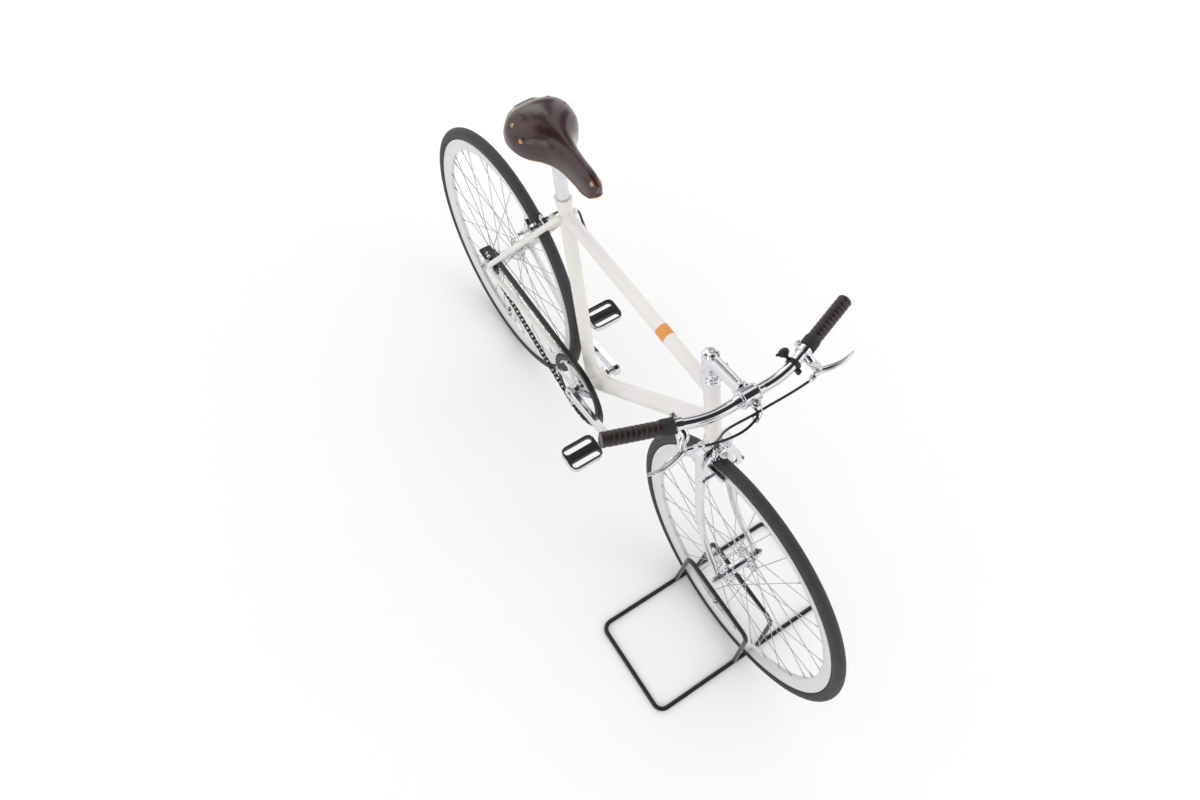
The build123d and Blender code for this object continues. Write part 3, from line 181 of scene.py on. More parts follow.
def drawn_up(name, profile, sides=28, lean=0.0):
    """Round piece extruded ring by ring up Z through (radius, height) steps."""
    (radius, height), *steps = profile
    ring = {"vertices": sides, "radius": radius, "fill_type": "NGON", "location": (0.0, 0.0, height)}
    obj = begin(bpy.ops.mesh.primitive_circle_add, **ring)
    obj.name = name
    settle(obj)
    bpy.ops.object.mode_set(mode="EDIT")
    bpy.ops.mesh.select_all(action="SELECT")
    for index, (next_radius, next_height) in enumerate(steps):
        rise = {"value": (0.0, 0.0, next_height - height)}
        bpy.ops.mesh.extrude_region_move(TRANSFORM_OT_translate=rise)
        centre = (0.0, 0.0, next_height)
        share = next_radius / radius
        bpy.ops.transform.resize(value=(share, share, share), center_override=centre)
        if lean and index in (0, len(steps) - 2):
            turn = lean if index == 0 else -lean
            bpy.ops.transform.rotate(value=turn, orient_axis="X", center_override=centre)
        radius, height = next_radius, next_height
    bpy.ops.object.mode_set(mode="OBJECT")
    close_shape()
    return obj


def turned(name, profile, sides, place, axis):
    """Round piece drawn up and stood at a place, up an axis."""
    return settle(drawn_up(name, profile, sides), along(place, axis))


def joined(name, pieces):
    bpy.ops.object.select_all(action="DESELECT")
    for piece in pieces:
        piece.select_set(True)
    bpy.context.view_layer.objects.active = pieces[0]
    bpy.ops.object.join()
    pieces[0].name = name
    return pieces[0]


def repeated(name, model, matrices):
    """One object made of copies of a model, which is used up."""
    copies = []
    for matrix in matrices:
        copy = bpy.data.objects.new(name, model.data.copy())
        copy.data.transform(matrix)
        bpy.context.scene.collection.objects.link(copy)
        copies.append(copy)
    bpy.data.objects.remove(model)
    return joined(name, copies)


def strand(name, points, radius, closed=False, smooth="NURBS", swell=None):
    """Round wire or cable along one smooth spline, made a mesh; swell thickens each point."""
    curve = bpy.data.curves.new(name, "CURVE")
    curve.dimensions = "3D"
    curve.resolution_u = 10
    curve.bevel_depth = radius
    curve.bevel_resolution = 3
    curve.use_fill_caps = not closed
    spline = curve.splines.new(smooth)
    if smooth == "BEZIER":
        spline.bezier_points.add(len(points) - 1)
        for knot, place in zip(spline.bezier_points, points):
            knot.co = place
            knot.handle_left_type = knot.handle_right_type = "AUTO"
        for knot, share in zip(spline.bezier_points, swell or ()):
            knot.radius = share
    else:
        spline.points.add(len(points) - 1)
        for knot, place in zip(spline.points, points):
            knot.co = (*place, 1.0)
        spline.order_u = 3
        spline.use_endpoint_u = not closed
    spline.use_cyclic_u = closed
    obj = bpy.data.objects.new(name, curve)
    bpy.context.scene.collection.objects.link(obj)
    only(obj)
    bpy.ops.object.convert(target="MESH")
    bpy.ops.object.shade_smooth()
    return bpy.context.object


def wear(obj, finish):
    """The object's whole surface takes one finish."""
    obj.data.materials.clear()
    obj.data.materials.append(bpy.data.materials[finish])
    return obj


def fitted(obj, body, finish, slot, *replaced):
    """Gives a settled piece its finish, its body and the nodes that it stands for."""
    wear(obj, finish)
    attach(obj, body)
    if replaced:
        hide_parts(*replaced)
    return obj


def surface_below(node, above):
    """Point and normal of a node's surface straight below a place."""
    hit, place, normal, _ = NODES[node].ray_cast(above, -UP)
    if not hit:
        raise RuntimeError(f"{node} has no surface below {tuple(above)}")
    return place, normal


def bolt_head(radius, height):
    """Profile of a round head with a socket sunk in its top."""
    return [
        (radius, 0.0),
        (radius, height * 0.8),
        (radius * 0.86, height),
        (radius * 0.5, height),
        (radius * 0.48, height * 0.45),
    ]


def nut_shape(radius, height):
    return [(radius, 0.0), (radius, height * 0.78), (radius * 0.84, height), (radius * 0.4, height)]


def dome(radius, height):
    return [
        (radius, 0.0),
        (radius * 0.96, height * 0.35),
        (radius * 0.78, height * 0.75),
        (radius * 0.42, height * 0.96),
        (radius * 0.12, height),
    ]


# ---- shader maths -------------------------------------------------------------------
class Value:
    """A shader socket that takes Python's operators, each of which adds a Math node."""

    def __init__(self, finish, socket):
        self.finish = finish
        self.socket = socket

    def maths(self, operation, *operands):
        return self.finish.maths(operation, *operands)

    def __add__(self, other):
        return self.maths("ADD", self, other)

    def __radd__(self, other):
        return self.maths("ADD", other, self)

    def __sub__(self, other):
        return self.maths("SUBTRACT", self, other)

    def __rsub__(self, other):
        return self.maths("SUBTRACT", other, self)

    def __mul__(self, other):
        return self.maths("MULTIPLY", self, other)

    def __rmul__(self, other):
        return self.maths("MULTIPLY", other, self)

    def __truediv__(self, other):
        return self.maths("DIVIDE", self, other)


class Network:
    """A node tree and the steps that add to it."""

    def __init__(self, tree):
        self.tree = tree

    def node(self, kind, settings=None, inputs=None, output=0):
        """Adds a node, sets it, then fills its sockets with numbers, colours or links."""
        made = self.tree.nodes.new(kind)
        for setting, value in (settings or {}).items():
            if setting == "stops":
                self.fill_ramp(made.color_ramp, value)
            else:
                setattr(made, setting, value)
        for key, value in (inputs or {}).items():
            self.fill(made.inputs[key], value)
        return Value(self, made.outputs[output])

    def maths(self, operation, *operands):
        return self.node("ShaderNodeMath", {"operation": operation}, dict(enumerate(operands)))

    def fill(self, socket, value):
        if isinstance(value, Value):
            self.tree.links.new(value.socket, socket)
        else:
            socket.default_value = value

    @staticmethod
    def fill_ramp(ramp, stops):
        while len(ramp.elements) < len(stops):
            ramp.elements.new(1.0)
        for element, (position, colour) in zip(ramp.elements, stops):
            element.position = position
            element.color = colour

    def blend(self, factor, first, second):
        """Colour mixed from two by a factor."""
        inputs = {"Factor": factor, 6: first, 7: second}
        return self.node("ShaderNodeMix", {"data_type": "RGBA"}, inputs, output=2)

    def dot(self, vector, direction):
        settings = {"operation": "DOT_PRODUCT"}
        return self.node("ShaderNodeVectorMath", settings, {0: vector, 1: direction}, output=1)

    def between(self, value, start, end):
        """Runs smoothly from 0 at the start to 1 at the end."""
        inputs = {"Value": value, "From Min": start, "From Max": end}
        return self.node("ShaderNodeMapRange", {"interpolation_type": "SMOOTHSTEP"}, inputs)


class Finish(Network):
    """One material, and the nodes that vary it over a surface."""

    def __init__(self, name, colour, roughness, metallic=0.0, **sockets):
        self.material = bpy.data.materials.new(name)
        self.material.use_nodes = True
        super().__init__(self.material.node_tree)
        self.surface = self.tree.nodes["Principled BSDF"]
        self.surface.inputs["Base Color"].default_value = (*colour, 1.0)
        self.surface.inputs["Roughness"].default_value = roughness
        self.surface.inputs["Metallic"].default_value = metallic
        for socket, value in sockets.items():
            self.surface.inputs[socket.replace("_", " ").title()].default_value = value

    def feed(self, socket, value):
        self.fill(self.surface.inputs[socket], value)
        return self

    def shift(self, factor, colour, share, lift=0.0):
        """Base colour that runs to a lighter or darker version of itself."""
        other = tuple(part * share + lift for part in colour)
        return self.feed("Base Color", self.blend(factor, rgba(colour), rgba(other)))

    def place(self):
        return self.node("ShaderNodeTexCoord", output="Object")

    def axes(self):
        split = self.node("ShaderNodeSeparateXYZ", inputs={0: self.place()})
        outputs = split.socket.node.outputs
        return [Value(self, outputs[axis]) for axis in range(3)]

    def noise(self, scale, detail=3.0, stretch=(1.0, 1.0, 1.0)):
        """Fractal noise on the object's own metres, stretched along an axis if asked."""
        mapped = self.node("ShaderNodeMapping", inputs={"Vector": self.place(), "Scale": stretch})
        inputs = {"Vector": mapped, "Scale": scale, "Detail": detail}
        return self.node("ShaderNodeTexNoise", inputs=inputs)

    def bump(self, height, strength, distance):
        inputs = {"Height": height, "Strength": strength, "Distance": distance}
        return self.feed("Normal", self.node("ShaderNodeBump", inputs=inputs))

    def off_axle(self):
        """Distance from the nearer wheel's axle, and the angle round it."""
        x, _, z = self.axes()
        ahead = self.maths("ABSOLUTE", x) - HUBS["front"].x
        above = z - HUBS["front"].z
        return self.maths("SQRT", ahead * ahead + above * above), self.maths("ARCTAN2", above, ahead)


def rgba(colour):
    return (*colour, 1.0)


# ---- finishes -----------------------------------------------------------------------
def frame_enamel(look):
    finish = Finish("frame_enamel", look.enamel, 0.32, coat_weight=0.6, coat_roughness=0.08)
    cloud = finish.noise(9.0, 4.0)
    finish.shift(cloud, look.enamel, 0.94)
    finish.feed("Roughness", finish.noise(60.0, 5.0) * 0.12 + 0.26)
    return finish.bump(finish.noise(220.0, 2.0), 0.05, 0.0004).material


def bright_plate(look, name="bright_plate", roughness=0.07):
    """Polished plating with faint handling marks."""
    finish = Finish(name, look.plating, roughness, 1.0)
    smear = finish.noise(24.0, 5.0)
    fine = finish.noise(420.0, 3.0)
    finish.feed("Roughness", smear * 0.10 + fine * 0.05 + (roughness - 0.05))
    finish.shift(smear, look.plating, 0.90)
    return finish.bump(fine, 0.04, 0.0002).material


def turned_alloy(look):
    """Aluminium with the fine rings of its polishing."""
    finish = Finish("turned_alloy", look.alloy, 0.24, 1.0)
    rings = finish.noise(900.0, 2.0, (1.0, 0.06, 1.0))
    cloud = finish.noise(14.0, 4.0)
    finish.feed("Roughness", rings * 0.16 + cloud * 0.12 + 0.14)
    finish.shift(cloud, look.alloy, 0.86)
    return finish.bump(rings, 0.06, 0.0002).material


def stainless_wire(look):
    finish = Finish("stainless_wire", look.wire, 0.22, 1.0)
    finish.feed("Roughness", finish.noise(300.0, 3.0) * 0.2 + 0.12)
    return finish.material


def rim_alloy_finish(look):
    """Silver rim with the machined rings of its brake track."""
    finish = Finish("brushed_rim", look.rim, 0.34, 0.55)
    radius, _ = finish.off_axle()
    across = {"W": radius * 5200.0, "Detail": 2.0}
    rings = finish.node("ShaderNodeTexNoise", {"noise_dimensions": "1D"}, across)
    track = finish.between(radius, 0.2985, 0.2995)
    cloud = finish.noise(12.0, 4.0)
    finish.shift(cloud * 0.6 + track * rings * 0.5, look.rim, 0.88)
    finish.feed("Roughness", 0.3 + cloud * 0.1 + track * rings * 0.12)
    return finish.bump(track * rings, 0.12, 0.0003).material


def casing_rubber(look):
    """Tyre rubber with a fine cross-cut tread, a mould line, road dust and a painted highlight along the
    tread's crown.
    """
    finish = Finish("casing_rubber", look.rubber, 0.55)
    radius, angle = finish.off_axle()
    tread = finish.between(radius, 0.3290, 0.3305)
    cuts = finish.maths("SINE", angle * 620.0 + radius * 5200.0)
    crossed = finish.maths("SINE", angle * 620.0 - radius * 5200.0)
    knurl = tread * (cuts * crossed)
    mould = finish.between(radius, 0.3225, 0.3229) * finish.between(radius, 0.3238, 0.3234)
    dust = finish.noise(30.0, 6.0)
    grain = finish.noise(900.0, 3.0)
    # Random road dust lightens the rubber, and the tread band round the crown is painted lighter as a
    # highlight.
    finish.shift(dust * 0.7 + tread * 0.3, look.rubber, 2.0, 0.006)
    finish.feed("Roughness", dust * 0.16 + grain * 0.08 + 0.44)
    return finish.bump(knurl * 0.5 + mould + grain * 0.2, 0.35, 0.0005).material


def black_rubber(look):
    finish = Finish("black_rubber", look.rubber, 0.6)
    grain = finish.noise(600.0, 4.0)
    finish.feed("Roughness", grain * 0.2 + 0.5)
    return finish.bump(grain, 0.2, 0.0003).material


def black_plastic(look):
    finish = Finish("black_plastic", look.black, 0.45)
    grain = finish.noise(700.0, 3.0)
    finish.feed("Roughness", grain * 0.2 + 0.36)
    return finish.bump(grain, 0.15, 0.0003).material


def cable_sheath(look):
    """Black sheath with a finely pitted satin skin."""
    finish = Finish("cable_sheath", look.black, 0.35)
    pits = finish.noise(500.0, 2.0)
    finish.feed("Roughness", pits * 0.15 + 0.3)
    return finish.bump(pits, 0.1, 0.0002).material


def black_paint(look):
    finish = Finish("black_paint", look.black, 0.3, coat_weight=0.4, coat_roughness=0.15)
    cloud = finish.noise(40.0, 4.0)
    finish.feed("Roughness", cloud * 0.2 + 0.24)
    return finish.bump(finish.noise(500.0, 3.0), 0.1, 0.0003).material


def blued_steel(look):
    finish = Finish("blued_steel", look.blued, 0.42, 0.6)
    oil = finish.noise(60.0, 5.0)
    finish.feed("Roughness", oil * 0.25 + 0.34)
    finish.shift(oil, look.blued, 2.0, 0.02)
    return finish.bump(finish.noise(800.0, 2.0), 0.1, 0.0002).material


def waxed_leather(look):
    """Dark waxed leather with pores and creases, raw and tan wherever it faces down."""
    finish = Finish("waxed_leather", look.leather, 0.2, coat_weight=0.6, coat_roughness=0.12)
    cloud = finish.noise(26.0, 6.0)
    creases = finish.noise(70.0, 8.0, (1.0, 2.6, 1.0))
    pores = finish.node("ShaderNodeTexVoronoi", inputs={"Vector": finish.place(), "Scale": 1100.0})
    facing = finish.node("ShaderNodeNewGeometry", output=1)
    downwards = finish.between(finish.dot(facing, (0.0, 0.0, -1.0)), 0.25, 0.45)
    lit = tuple(c * 1.9 + 0.003 for c in look.leather)
    waxed = finish.blend(finish.between(cloud, 0.42, 0.75), rgba(look.leather), rgba(lit))
    finish.feed("Base Color", finish.blend(downwards, waxed, rgba(look.raw_leather)))
    finish.feed("Roughness", cloud * 0.14 + downwards * 0.5 + 0.14)
    finish.feed("Coat Weight", 0.6 - downwards * 0.6)
    return finish.bump(creases * 0.7 + pores * 0.3, 0.16, 0.0006).material


def raw_leather(look):
    """Tan cut edge with its fibres."""
    finish = Finish("raw_leather", look.raw_leather, 0.7)
    fibres = finish.noise(700.0, 4.0, (0.4, 0.4, 2.0))
    finish.shift(fibres, look.raw_leather, 0.6)
    return finish.bump(fibres, 0.3, 0.0003).material


def hammered_copper(look):
    """Copper rivets with the marks of their setting."""
    finish = Finish("hammered_copper", look.copper, 0.3, 1.0)
    marks = finish.noise(420.0, 3.0)
    finish.shift(marks, look.copper, 0.6)
    finish.feed("Roughness", marks * 0.3 + 0.2)
    return finish.bump(marks, 0.5, 0.0004).material


def wrapped_leather(look):
    """Leather bands, paler in scattered patches."""
    finish = Finish("wrapped_leather", look.grip, 0.36, coat_weight=0.15, coat_roughness=0.2)
    cloud = finish.noise(60.0, 6.0)
    grain = finish.noise(800.0, 4.0)
    finish.shift(finish.between(cloud, 0.4, 0.8), look.grip, 1.9, 0.003)
    finish.feed("Roughness", cloud * 0.22 + 0.26)
    return finish.bump(grain, 0.25, 0.0004).material


def orange_film(look):
    finish = Finish("orange_film", look.orange, 0.35, coat_weight=0.3)
    cloud = finish.noise(80.0, 4.0)
    finish.shift(cloud, look.orange, 0.85)
    return finish.material


FINISHES = {
    "frame_enamel": (
        frame_enamel,
        "seat_tube head_tube top_tube down_tube dropouts chain_stays seat_stays brake_bridge"
        " seat_collar",
    ),
    "bright_plate": (
        bright_plate,
        "fork stem handlebar brake_levers front_caliper rear_caliper right_crank left_crank"
        " headset_cups headset_lock seatpost front_hub rear_hub bracket_cups right_pedal_axle"
        " left_pedal_axle",
    ),
    "turned_alloy": (turned_alloy, "front_axle rear_axle spindle"),
    "brushed_rim": (rim_alloy_finish, "front_rim rear_rim"),
    "raw_leather": (raw_leather, ""),
    "cable_sheath": (cable_sheath, "front_brake_cable rear_brake_cable rear_brake_cable_loop"),
    "hammered_copper": (hammered_copper, ""),
    "stainless_wire": (stainless_wire, "front_spokes rear_spokes"),
    "casing_rubber": (casing_rubber, "front_tyre rear_tyre"),
    "black_rubber": (black_rubber, "front_brake_pads rear_brake_pads"),
    "black_plastic": (
        black_plastic,
        "right_pedal left_pedal bell",
    ),
    "black_paint": (black_paint, "stand_floor_loop stand_hoops chain_guard saddle_rails"),
    "blued_steel": (blued_steel, "chain chainring rear_cog"),
    "waxed_leather": (waxed_leather, "saddle"),
    "wrapped_leather": (wrapped_leather, "grips"),
    "orange_film": (orange_film, "orange_band"),
}


# ---- settings -----------------------------------------------------------------------
def colour(name, description, default):
    return FloatVectorProperty(
        name=name, description=description, default=default, subtype="COLOR", min=0.0, max=1.0
    )


def length(name, description, default):
    return FloatProperty(name=name, description=description, default=default, unit="LENGTH", precision=5)


class BicycleLook(bpy.types.PropertyGroup):
    """Colours of the bicycle's finishes."""

    enamel: colour("Enamel", "Cream enamel of the frame tubes", (0.88, 0.85, 0.805))
    plating: colour("Plating", "Bright plating of fork, bar and cranks", (0.88, 0.89, 0.91))
    alloy: colour("Alloy", "Aluminium of rims and axles", (0.80, 0.80, 0.81))
    wire: colour("Wire", "Stainless spokes", (0.62, 0.62, 0.63))
    rim: colour("Rim", "Silver of the rims", (0.86, 0.87, 0.88))
    raw_leather: colour("Raw leather", "Cut edge of the saddle", (0.42, 0.20, 0.085))
    copper: colour("Copper", "Saddle rivets", (0.72, 0.42, 0.22))
    rubber: colour("Rubber", "Tyres and brake blocks", (0.020, 0.020, 0.022))
    black: colour("Black", "Stand, guard, pedals and cables", (0.010, 0.010, 0.011))
    blued: colour("Blued steel", "Chain and toothed wheels", (0.028, 0.028, 0.031))
    leather: colour("Saddle leather", "Waxed brown leather", (0.032, 0.0115, 0.0095))
    grip: colour("Grip leather", "Wrapped brown leather", (0.0200, 0.0095, 0.0090))
    orange: colour("Orange", "Band on the top tube", (0.90, 0.34, 0.06))


class BicycleStage(bpy.types.PropertyGroup):
    """Camera, floor and lights."""

    eye: FloatVectorProperty(
        name="Eye",
        description="Place of the camera",
        default=(0.802137, -0.729594, 2.376695),
        subtype="XYZ",
        unit="LENGTH",
    )
    aim: FloatVectorProperty(
        name="Aim",
        description="Point at the middle of the picture",
        default=(-0.028731, -0.017584, 0.3),
        subtype="XYZ",
        unit="LENGTH",
    )
    roll: FloatProperty(
        name="Roll", description="Turn about the line of sight", default=0.1397, subtype="ANGLE"
    )
    lens: FloatProperty(
        name="Lens", description="Focal length on a 36 mm sensor", default=28.865, min=5.0
    )
    floor_size: FloatProperty(
        name="Floor", description="Side of the pale floor", default=40.0, unit="LENGTH"
    )
    sky: FloatProperty(
        name="Sky", description="Strength of the light from all round", default=0.95, min=0.0
    )
    key: FloatProperty(
        name="Key light", description="Power of the overhead panel", default=10.0, unit="POWER"
    )


class BicycleChain(bpy.types.PropertyGroup):
    """Sizes of the roller chain."""

    pitch: length("Pitch", "Distance between pins", 0.0127)
    line: length("Chain line", "Distance of the chain from the bicycle's plane", 0.047)
    inside: length("Inside width", "Width between the inner plates", 0.0038)
    plate: length("Plate", "Thickness of a link plate", 0.0012)
    slack: length("Slack", "Gap between inner and outer plates", 0.00025)
    ring_teeth: IntProperty(name="Ring teeth", description="Teeth of the chainring", default=48)
    cog_teeth: IntProperty(name="Cog teeth", description="Teeth of the cog", default=17)


class BicyclePedal(bpy.types.PropertyGroup):
    """Sizes of the pedals' frames."""

    corner: length("Corner", "Rounding of the four corners", 0.0130)
    rim: length("Rim", "Width of the black rim", 0.0036)
    opening: length("Opening", "Width of each long opening", 0.0178)
    wall: length("Wall", "Thickness of the bright cage", 0.0016)


class BicycleCable(bpy.types.PropertyGroup):
    """Size of the brake cables."""

    radius: length("Radius", "Radius of the black sheath", 0.0025)


class BicycleGrip(bpy.types.PropertyGroup):
    """Sizes of the wrapped grips."""

    length: length("Length", "Length from collar to end", 0.1290)
    radius: length("Radius", "Radius over the leather", 0.0143)
    band: length("Band", "Width of one band of leather", 0.0098)
    collar: length("Collar", "Radius of the black collar", 0.0158)
    collar_length: length("Collar length", "Length of the black collar", 0.025)


# ---- operators ----------------------------------------------------------------------
class BICYCLE_OT_finishes(bpy.types.Operator):
    """Gives every piece of the frame its finish"""

    bl_idname = "bicycle.finishes"
    bl_label = "Finish the frame's pieces"

    def execute(self, context):
        look = context.scene.bicycle_look
        for finish, (make, nodes) in FINISHES.items():
            make(look)
            for name in nodes.split():
                wear(NODES[name], finish)
        return {"FINISHED"}


class BICYCLE_OT_tyres(bpy.types.Operator):
    """Models both tyres: a round casing with a tread band raised on it"""

    bl_idname = "bicycle.tyres"
    bl_label = "Tyres"

    def execute(self, context):
        for end in HUBS:
            node = f"{end}_tyre"
            size = high(node) - low(node)
            section = size.y / 2 - 0.0003
            ring = size.z / 2 - section - 0.0003
            obj = begin(
                bpy.ops.mesh.primitive_torus_add,
                major_radius=ring,
                minor_radius=section,
                major_segments=168,
                minor_segments=24,
                location=HUBS[end],
                rotation=(math.pi / 2, 0.0, 0.0),
            )
            obj.name = f"{end}_round_tyre"
            settle(obj)
            self.raise_tread(obj, HUBS[end], ring + section * 0.42)
            close_shape(60.0)
            fitted(obj, f"{end}_wheel", "casing_rubber", "tyre_rubber", node)
        return {"FINISHED"}

    def raise_tread(self, obj, centre, reach):
        choose(obj, "FACE", lambda face: (face.center - centre).length > reach)
        bpy.ops.mesh.inset(thickness=0.0008, depth=0.0005)
        bpy.ops.object.mode_set(mode="OBJECT")


class BICYCLE_OT_wheel_fittings(bpy.types.Operator):
    """Seats a nipple at each spoke's end, and puts the nut and cap on each valve"""

    bl_idname = "bicycle.wheel_fittings"
    bl_label = "Nipples and valves"

    def execute(self, context):
        for end, centre in HUBS.items():
            nipple = drawn_up("nipple", [(0.0012, -0.012), (0.0018, -0.0105), (0.0021, -0.001),
                                         (0.0026, 0.0)], 8)
            ends = [self.spoke_end(centre, side, index) for side in (1, -1) for index in range(16)]
            obj = repeated(f"{end}_nipples", nipple, ends)
            fitted(obj, f"{end}_wheel", "stainless_wire", "spoke_steel")
            foot = centre - Vector((0.0, 0.0, 0.282))
            nut_profile = [(0.0062, 0.0), (0.0062, 0.0022), (0.0048, 0.0028)]
            nut = turned(f"{end}_valve_nut", nut_profile, 20, foot, UP)
            cap = turned(f"{end}_valve_cap", [
                (0.0037, 0.0), (0.0042, 0.001), (0.0042, 0.009), (0.0031, 0.0105), (0.0024, 0.015),
                (0.0016, 0.016),
            ], 16, foot + Vector((0.0, 0.0, 0.017)), UP)
            fitted(nut, f"{end}_wheel", "bright_plate", "polished_alloy")
            fitted(cap, f"{end}_wheel", "black_plastic", "pedal_black")
        return {"FINISHED"}

    def spoke_end(self, centre, side, index):
        """Place of one spoke's end in the rim, and the way along the spoke."""
        leading = 1 if index % 2 == 0 else -1
        hub_angle = 22.5 * (index + 0.25 * side)
        rim_angle = hub_angle + leading * 3 * 22.5
        start = centre + polar(hub_angle) * 0.029 + Y * side * (0.031 + leading * 0.0025)
        end = centre + polar(rim_angle) * 0.2817 + Y * side * (0.002 + leading * 0.001)
        return along(end, end - start)


class BICYCLE_OT_chain(bpy.types.Operator):
    """Links one roller chain round both toothed wheels"""

    bl_idname = "bicycle.chain"
    bl_label = "Roller chain"

    def execute(self, context):
        path = context.scene.bicycle_chain
        pins = self.pins(path)
        pitch = (pins[1] - pins[0]).length
        inner = self.inner_link(path, pitch)
        outer = self.outer_link(path, pitch)
        places = [self.link_place(pins, index) for index in range(len(pins))]
        links = repeated("inner_links", inner, places[0::2])
        more = repeated("outer_links", outer, places[1::2])
        chain = joined("roller_chain", [links, more])
        fitted(chain, "frame", "blued_steel", "black_metal", "chain")
        return {"FINISHED"}

    def pins(self, path):
        """Pin places: over the chainring, back under it, round the cog and forwards."""
        ring = path.pitch / 2 / math.sin(math.pi / path.ring_teeth)
        cog = path.pitch / 2 / math.sin(math.pi / path.cog_teeth)
        gap = HUBS["rear"] - BRACKET
        back = math.degrees(math.atan2(gap.z, gap.x))
        wrap = math.degrees(math.acos((ring - cog) / gap.length))
        run = gap.length * math.sin(math.radians(wrap))
        ring_arc = ring * math.radians(360 - 2 * wrap)
        cog_arc = cog * math.radians(2 * wrap)
        whole = ring_arc + cog_arc + 2 * run
        count = 2 * round(whole / path.pitch / 2)
        over, under = polar(back - wrap), polar(back + wrap)
        places = []
        for index in range(count):
            distance = whole * index / count
            if distance < ring_arc:
                angle = back - wrap - math.degrees(distance / ring)
                place = BRACKET + polar(angle) * ring
            elif distance < ring_arc + run:
                share = (distance - ring_arc) / run
                place = (BRACKET + under * ring).lerp(HUBS["rear"] + under * cog, share)
            elif distance < ring_arc + run + cog_arc:
                angle = back + wrap - math.degrees((distance - ring_arc - run) / cog)
                place = HUBS["rear"] + polar(angle) * cog
            else:
                share = (distance - ring_arc - run - cog_arc) / run
                place = (HUBS["rear"] + over * cog).lerp(BRACKET + over * ring, share)
            places.append(place - Y * path.line)
        return places

    def link_place(self, pins, index):
        """Matrix whose X runs from one pin to the next and whose Z is the pin's axis."""
        ahead = (pins[(index + 1) % len(pins)] - pins[index]).normalized()
        turn = Matrix((ahead, Y.cross(ahead), Y)).transposed()
        return Matrix.Translation(pins[index]) @ turn.to_4x4()

    def link_plate(self, name, radius, thickness, pitch, side):
        """Plate with round ends: one disc whose farther half is moved a pitch along."""
        obj = drawn_up(name, [(radius * 0.93, -thickness / 2), (radius, -thickness * 0.3),
                              (radius, thickness * 0.3), (radius * 0.93, thickness / 2)], 14)
        choose(obj, "VERT", lambda vertex: vertex.co.x > 0.0001)
        bpy.ops.transform.translate(value=(pitch, 0.0, 0.0))
        bpy.ops.object.mode_set(mode="OBJECT")
        return settle(obj, Matrix.Translation((0.0, 0.0, side)))

    def inner_link(self, path, pitch):
        side = path.inside / 2 + path.plate / 2
        pieces = [self.link_plate("inner", 0.0042, path.plate, pitch, s) for s in (side, -side)]
        for place in (0.0, pitch):
            roller = drawn_up("roller", [(0.0038, -path.inside / 2), (0.0038, path.inside / 2)], 12)
            pieces.append(settle(roller, Matrix.Translation((place, 0.0, 0.0))))
        return joined("inner_link", pieces)

    def outer_link(self, path, pitch):
        side = path.inside / 2 + path.plate * 1.5 + path.slack
        pieces = [self.link_plate("outer", 0.0047, path.plate, pitch, s) for s in (side, -side)]
        reach = side + path.plate / 2
        for place in (0.0, pitch):
            pin = drawn_up("pin", [(0.0014, -reach - 0.0004), (0.0018, -reach), (0.0018, reach),
                                   (0.0014, reach + 0.0004)], 8)
            pieces.append(settle(pin, Matrix.Translation((place, 0.0, 0.0))))
        return joined("outer_link", pieces)


class BICYCLE_OT_crank_fittings(bpy.types.Operator):
    """Adds chainring bolts, dust caps and pedal eyes to the cranks"""

    bl_idname = "bicycle.crank_fittings"
    bl_label = "Crank fittings"

    def execute(self, context):
        line = context.scene.bicycle_chain.line
        ring = high("chainring").z - BRACKET.z
        angle = math.degrees(math.atan2(*((middle("right_pedal") - BRACKET).zx)))
        bolts = []
        for index in range(5):
            place = BRACKET + polar(angle + 36 + 72 * index) * (ring - 0.0155)
            seat = place - Y * (line + 0.0053)
            bolts.append(turned("ring_bolt", bolt_head(0.0052, 0.0022), 20, seat, -Y))
        fitted(joined("chainring_bolts", bolts), "crank", "bright_plate", "polished_alloy")
        for side, crank in ((1, "left_crank"), (-1, "right_crank")):
            face = max(abs(low(crank).y), abs(high(crank).y))
            cap = turned(f"{crank}_cap", [
                (0.0112, 0.0), (0.0112, 0.0008), (0.0102, 0.0016), (0.0085, 0.0010), (0.0080, 0.0005),
                (0.0045, 0.0006), (0.0040, 0.0012), (0.0026, 0.0012), (0.0024, 0.0004),
            ], 32, Vector((BRACKET.x, side * face, BRACKET.z)), Y * side)
            fitted(cap, "crank", "bright_plate", "polished_alloy")
            eye = middle("left_pedal" if side > 0 else "right_pedal")
            seat = Vector((eye.x, side * (face - 0.0014), eye.z))
            collar = turned(f"{crank}_pedal_flats", nut_shape(0.0092, 0.005), 6, seat, Y * side)
            fitted(collar, "crank", "bright_plate", "steel")
        return {"FINISHED"}


def cornered_block(name, centre, size, corner, segments=2):
    """Block whose upright edges are rounded off."""
    block = begin(bpy.ops.mesh.primitive_cube_add, size=1.0, location=centre)
    block.name = name
    block.scale = size
    settle(block)
    ends = block.data.vertices
    upright = [abs(ends[e.vertices[0]].co.z - ends[e.vertices[1]].co.z) > 0.0005 for e in block.data.edges]
    choose(block, "EDGE", lambda edge: upright[edge.index])
    bpy.ops.mesh.bevel(offset=corner, segments=segments, affect="EDGES")
    bpy.ops.object.mode_set(mode="OBJECT")
    return block


def eased(obj, width, segments=2):
    """Rounds a piece's sharp edges a little."""
    only(obj)
    rounding = obj.modifiers.new("eased", "BEVEL")
    rounding.width = width
    rounding.segments = segments
    rounding.limit_method = "ANGLE"
    bpy.ops.object.modifier_apply(modifier=rounding.name)
    close_shape()
    return obj


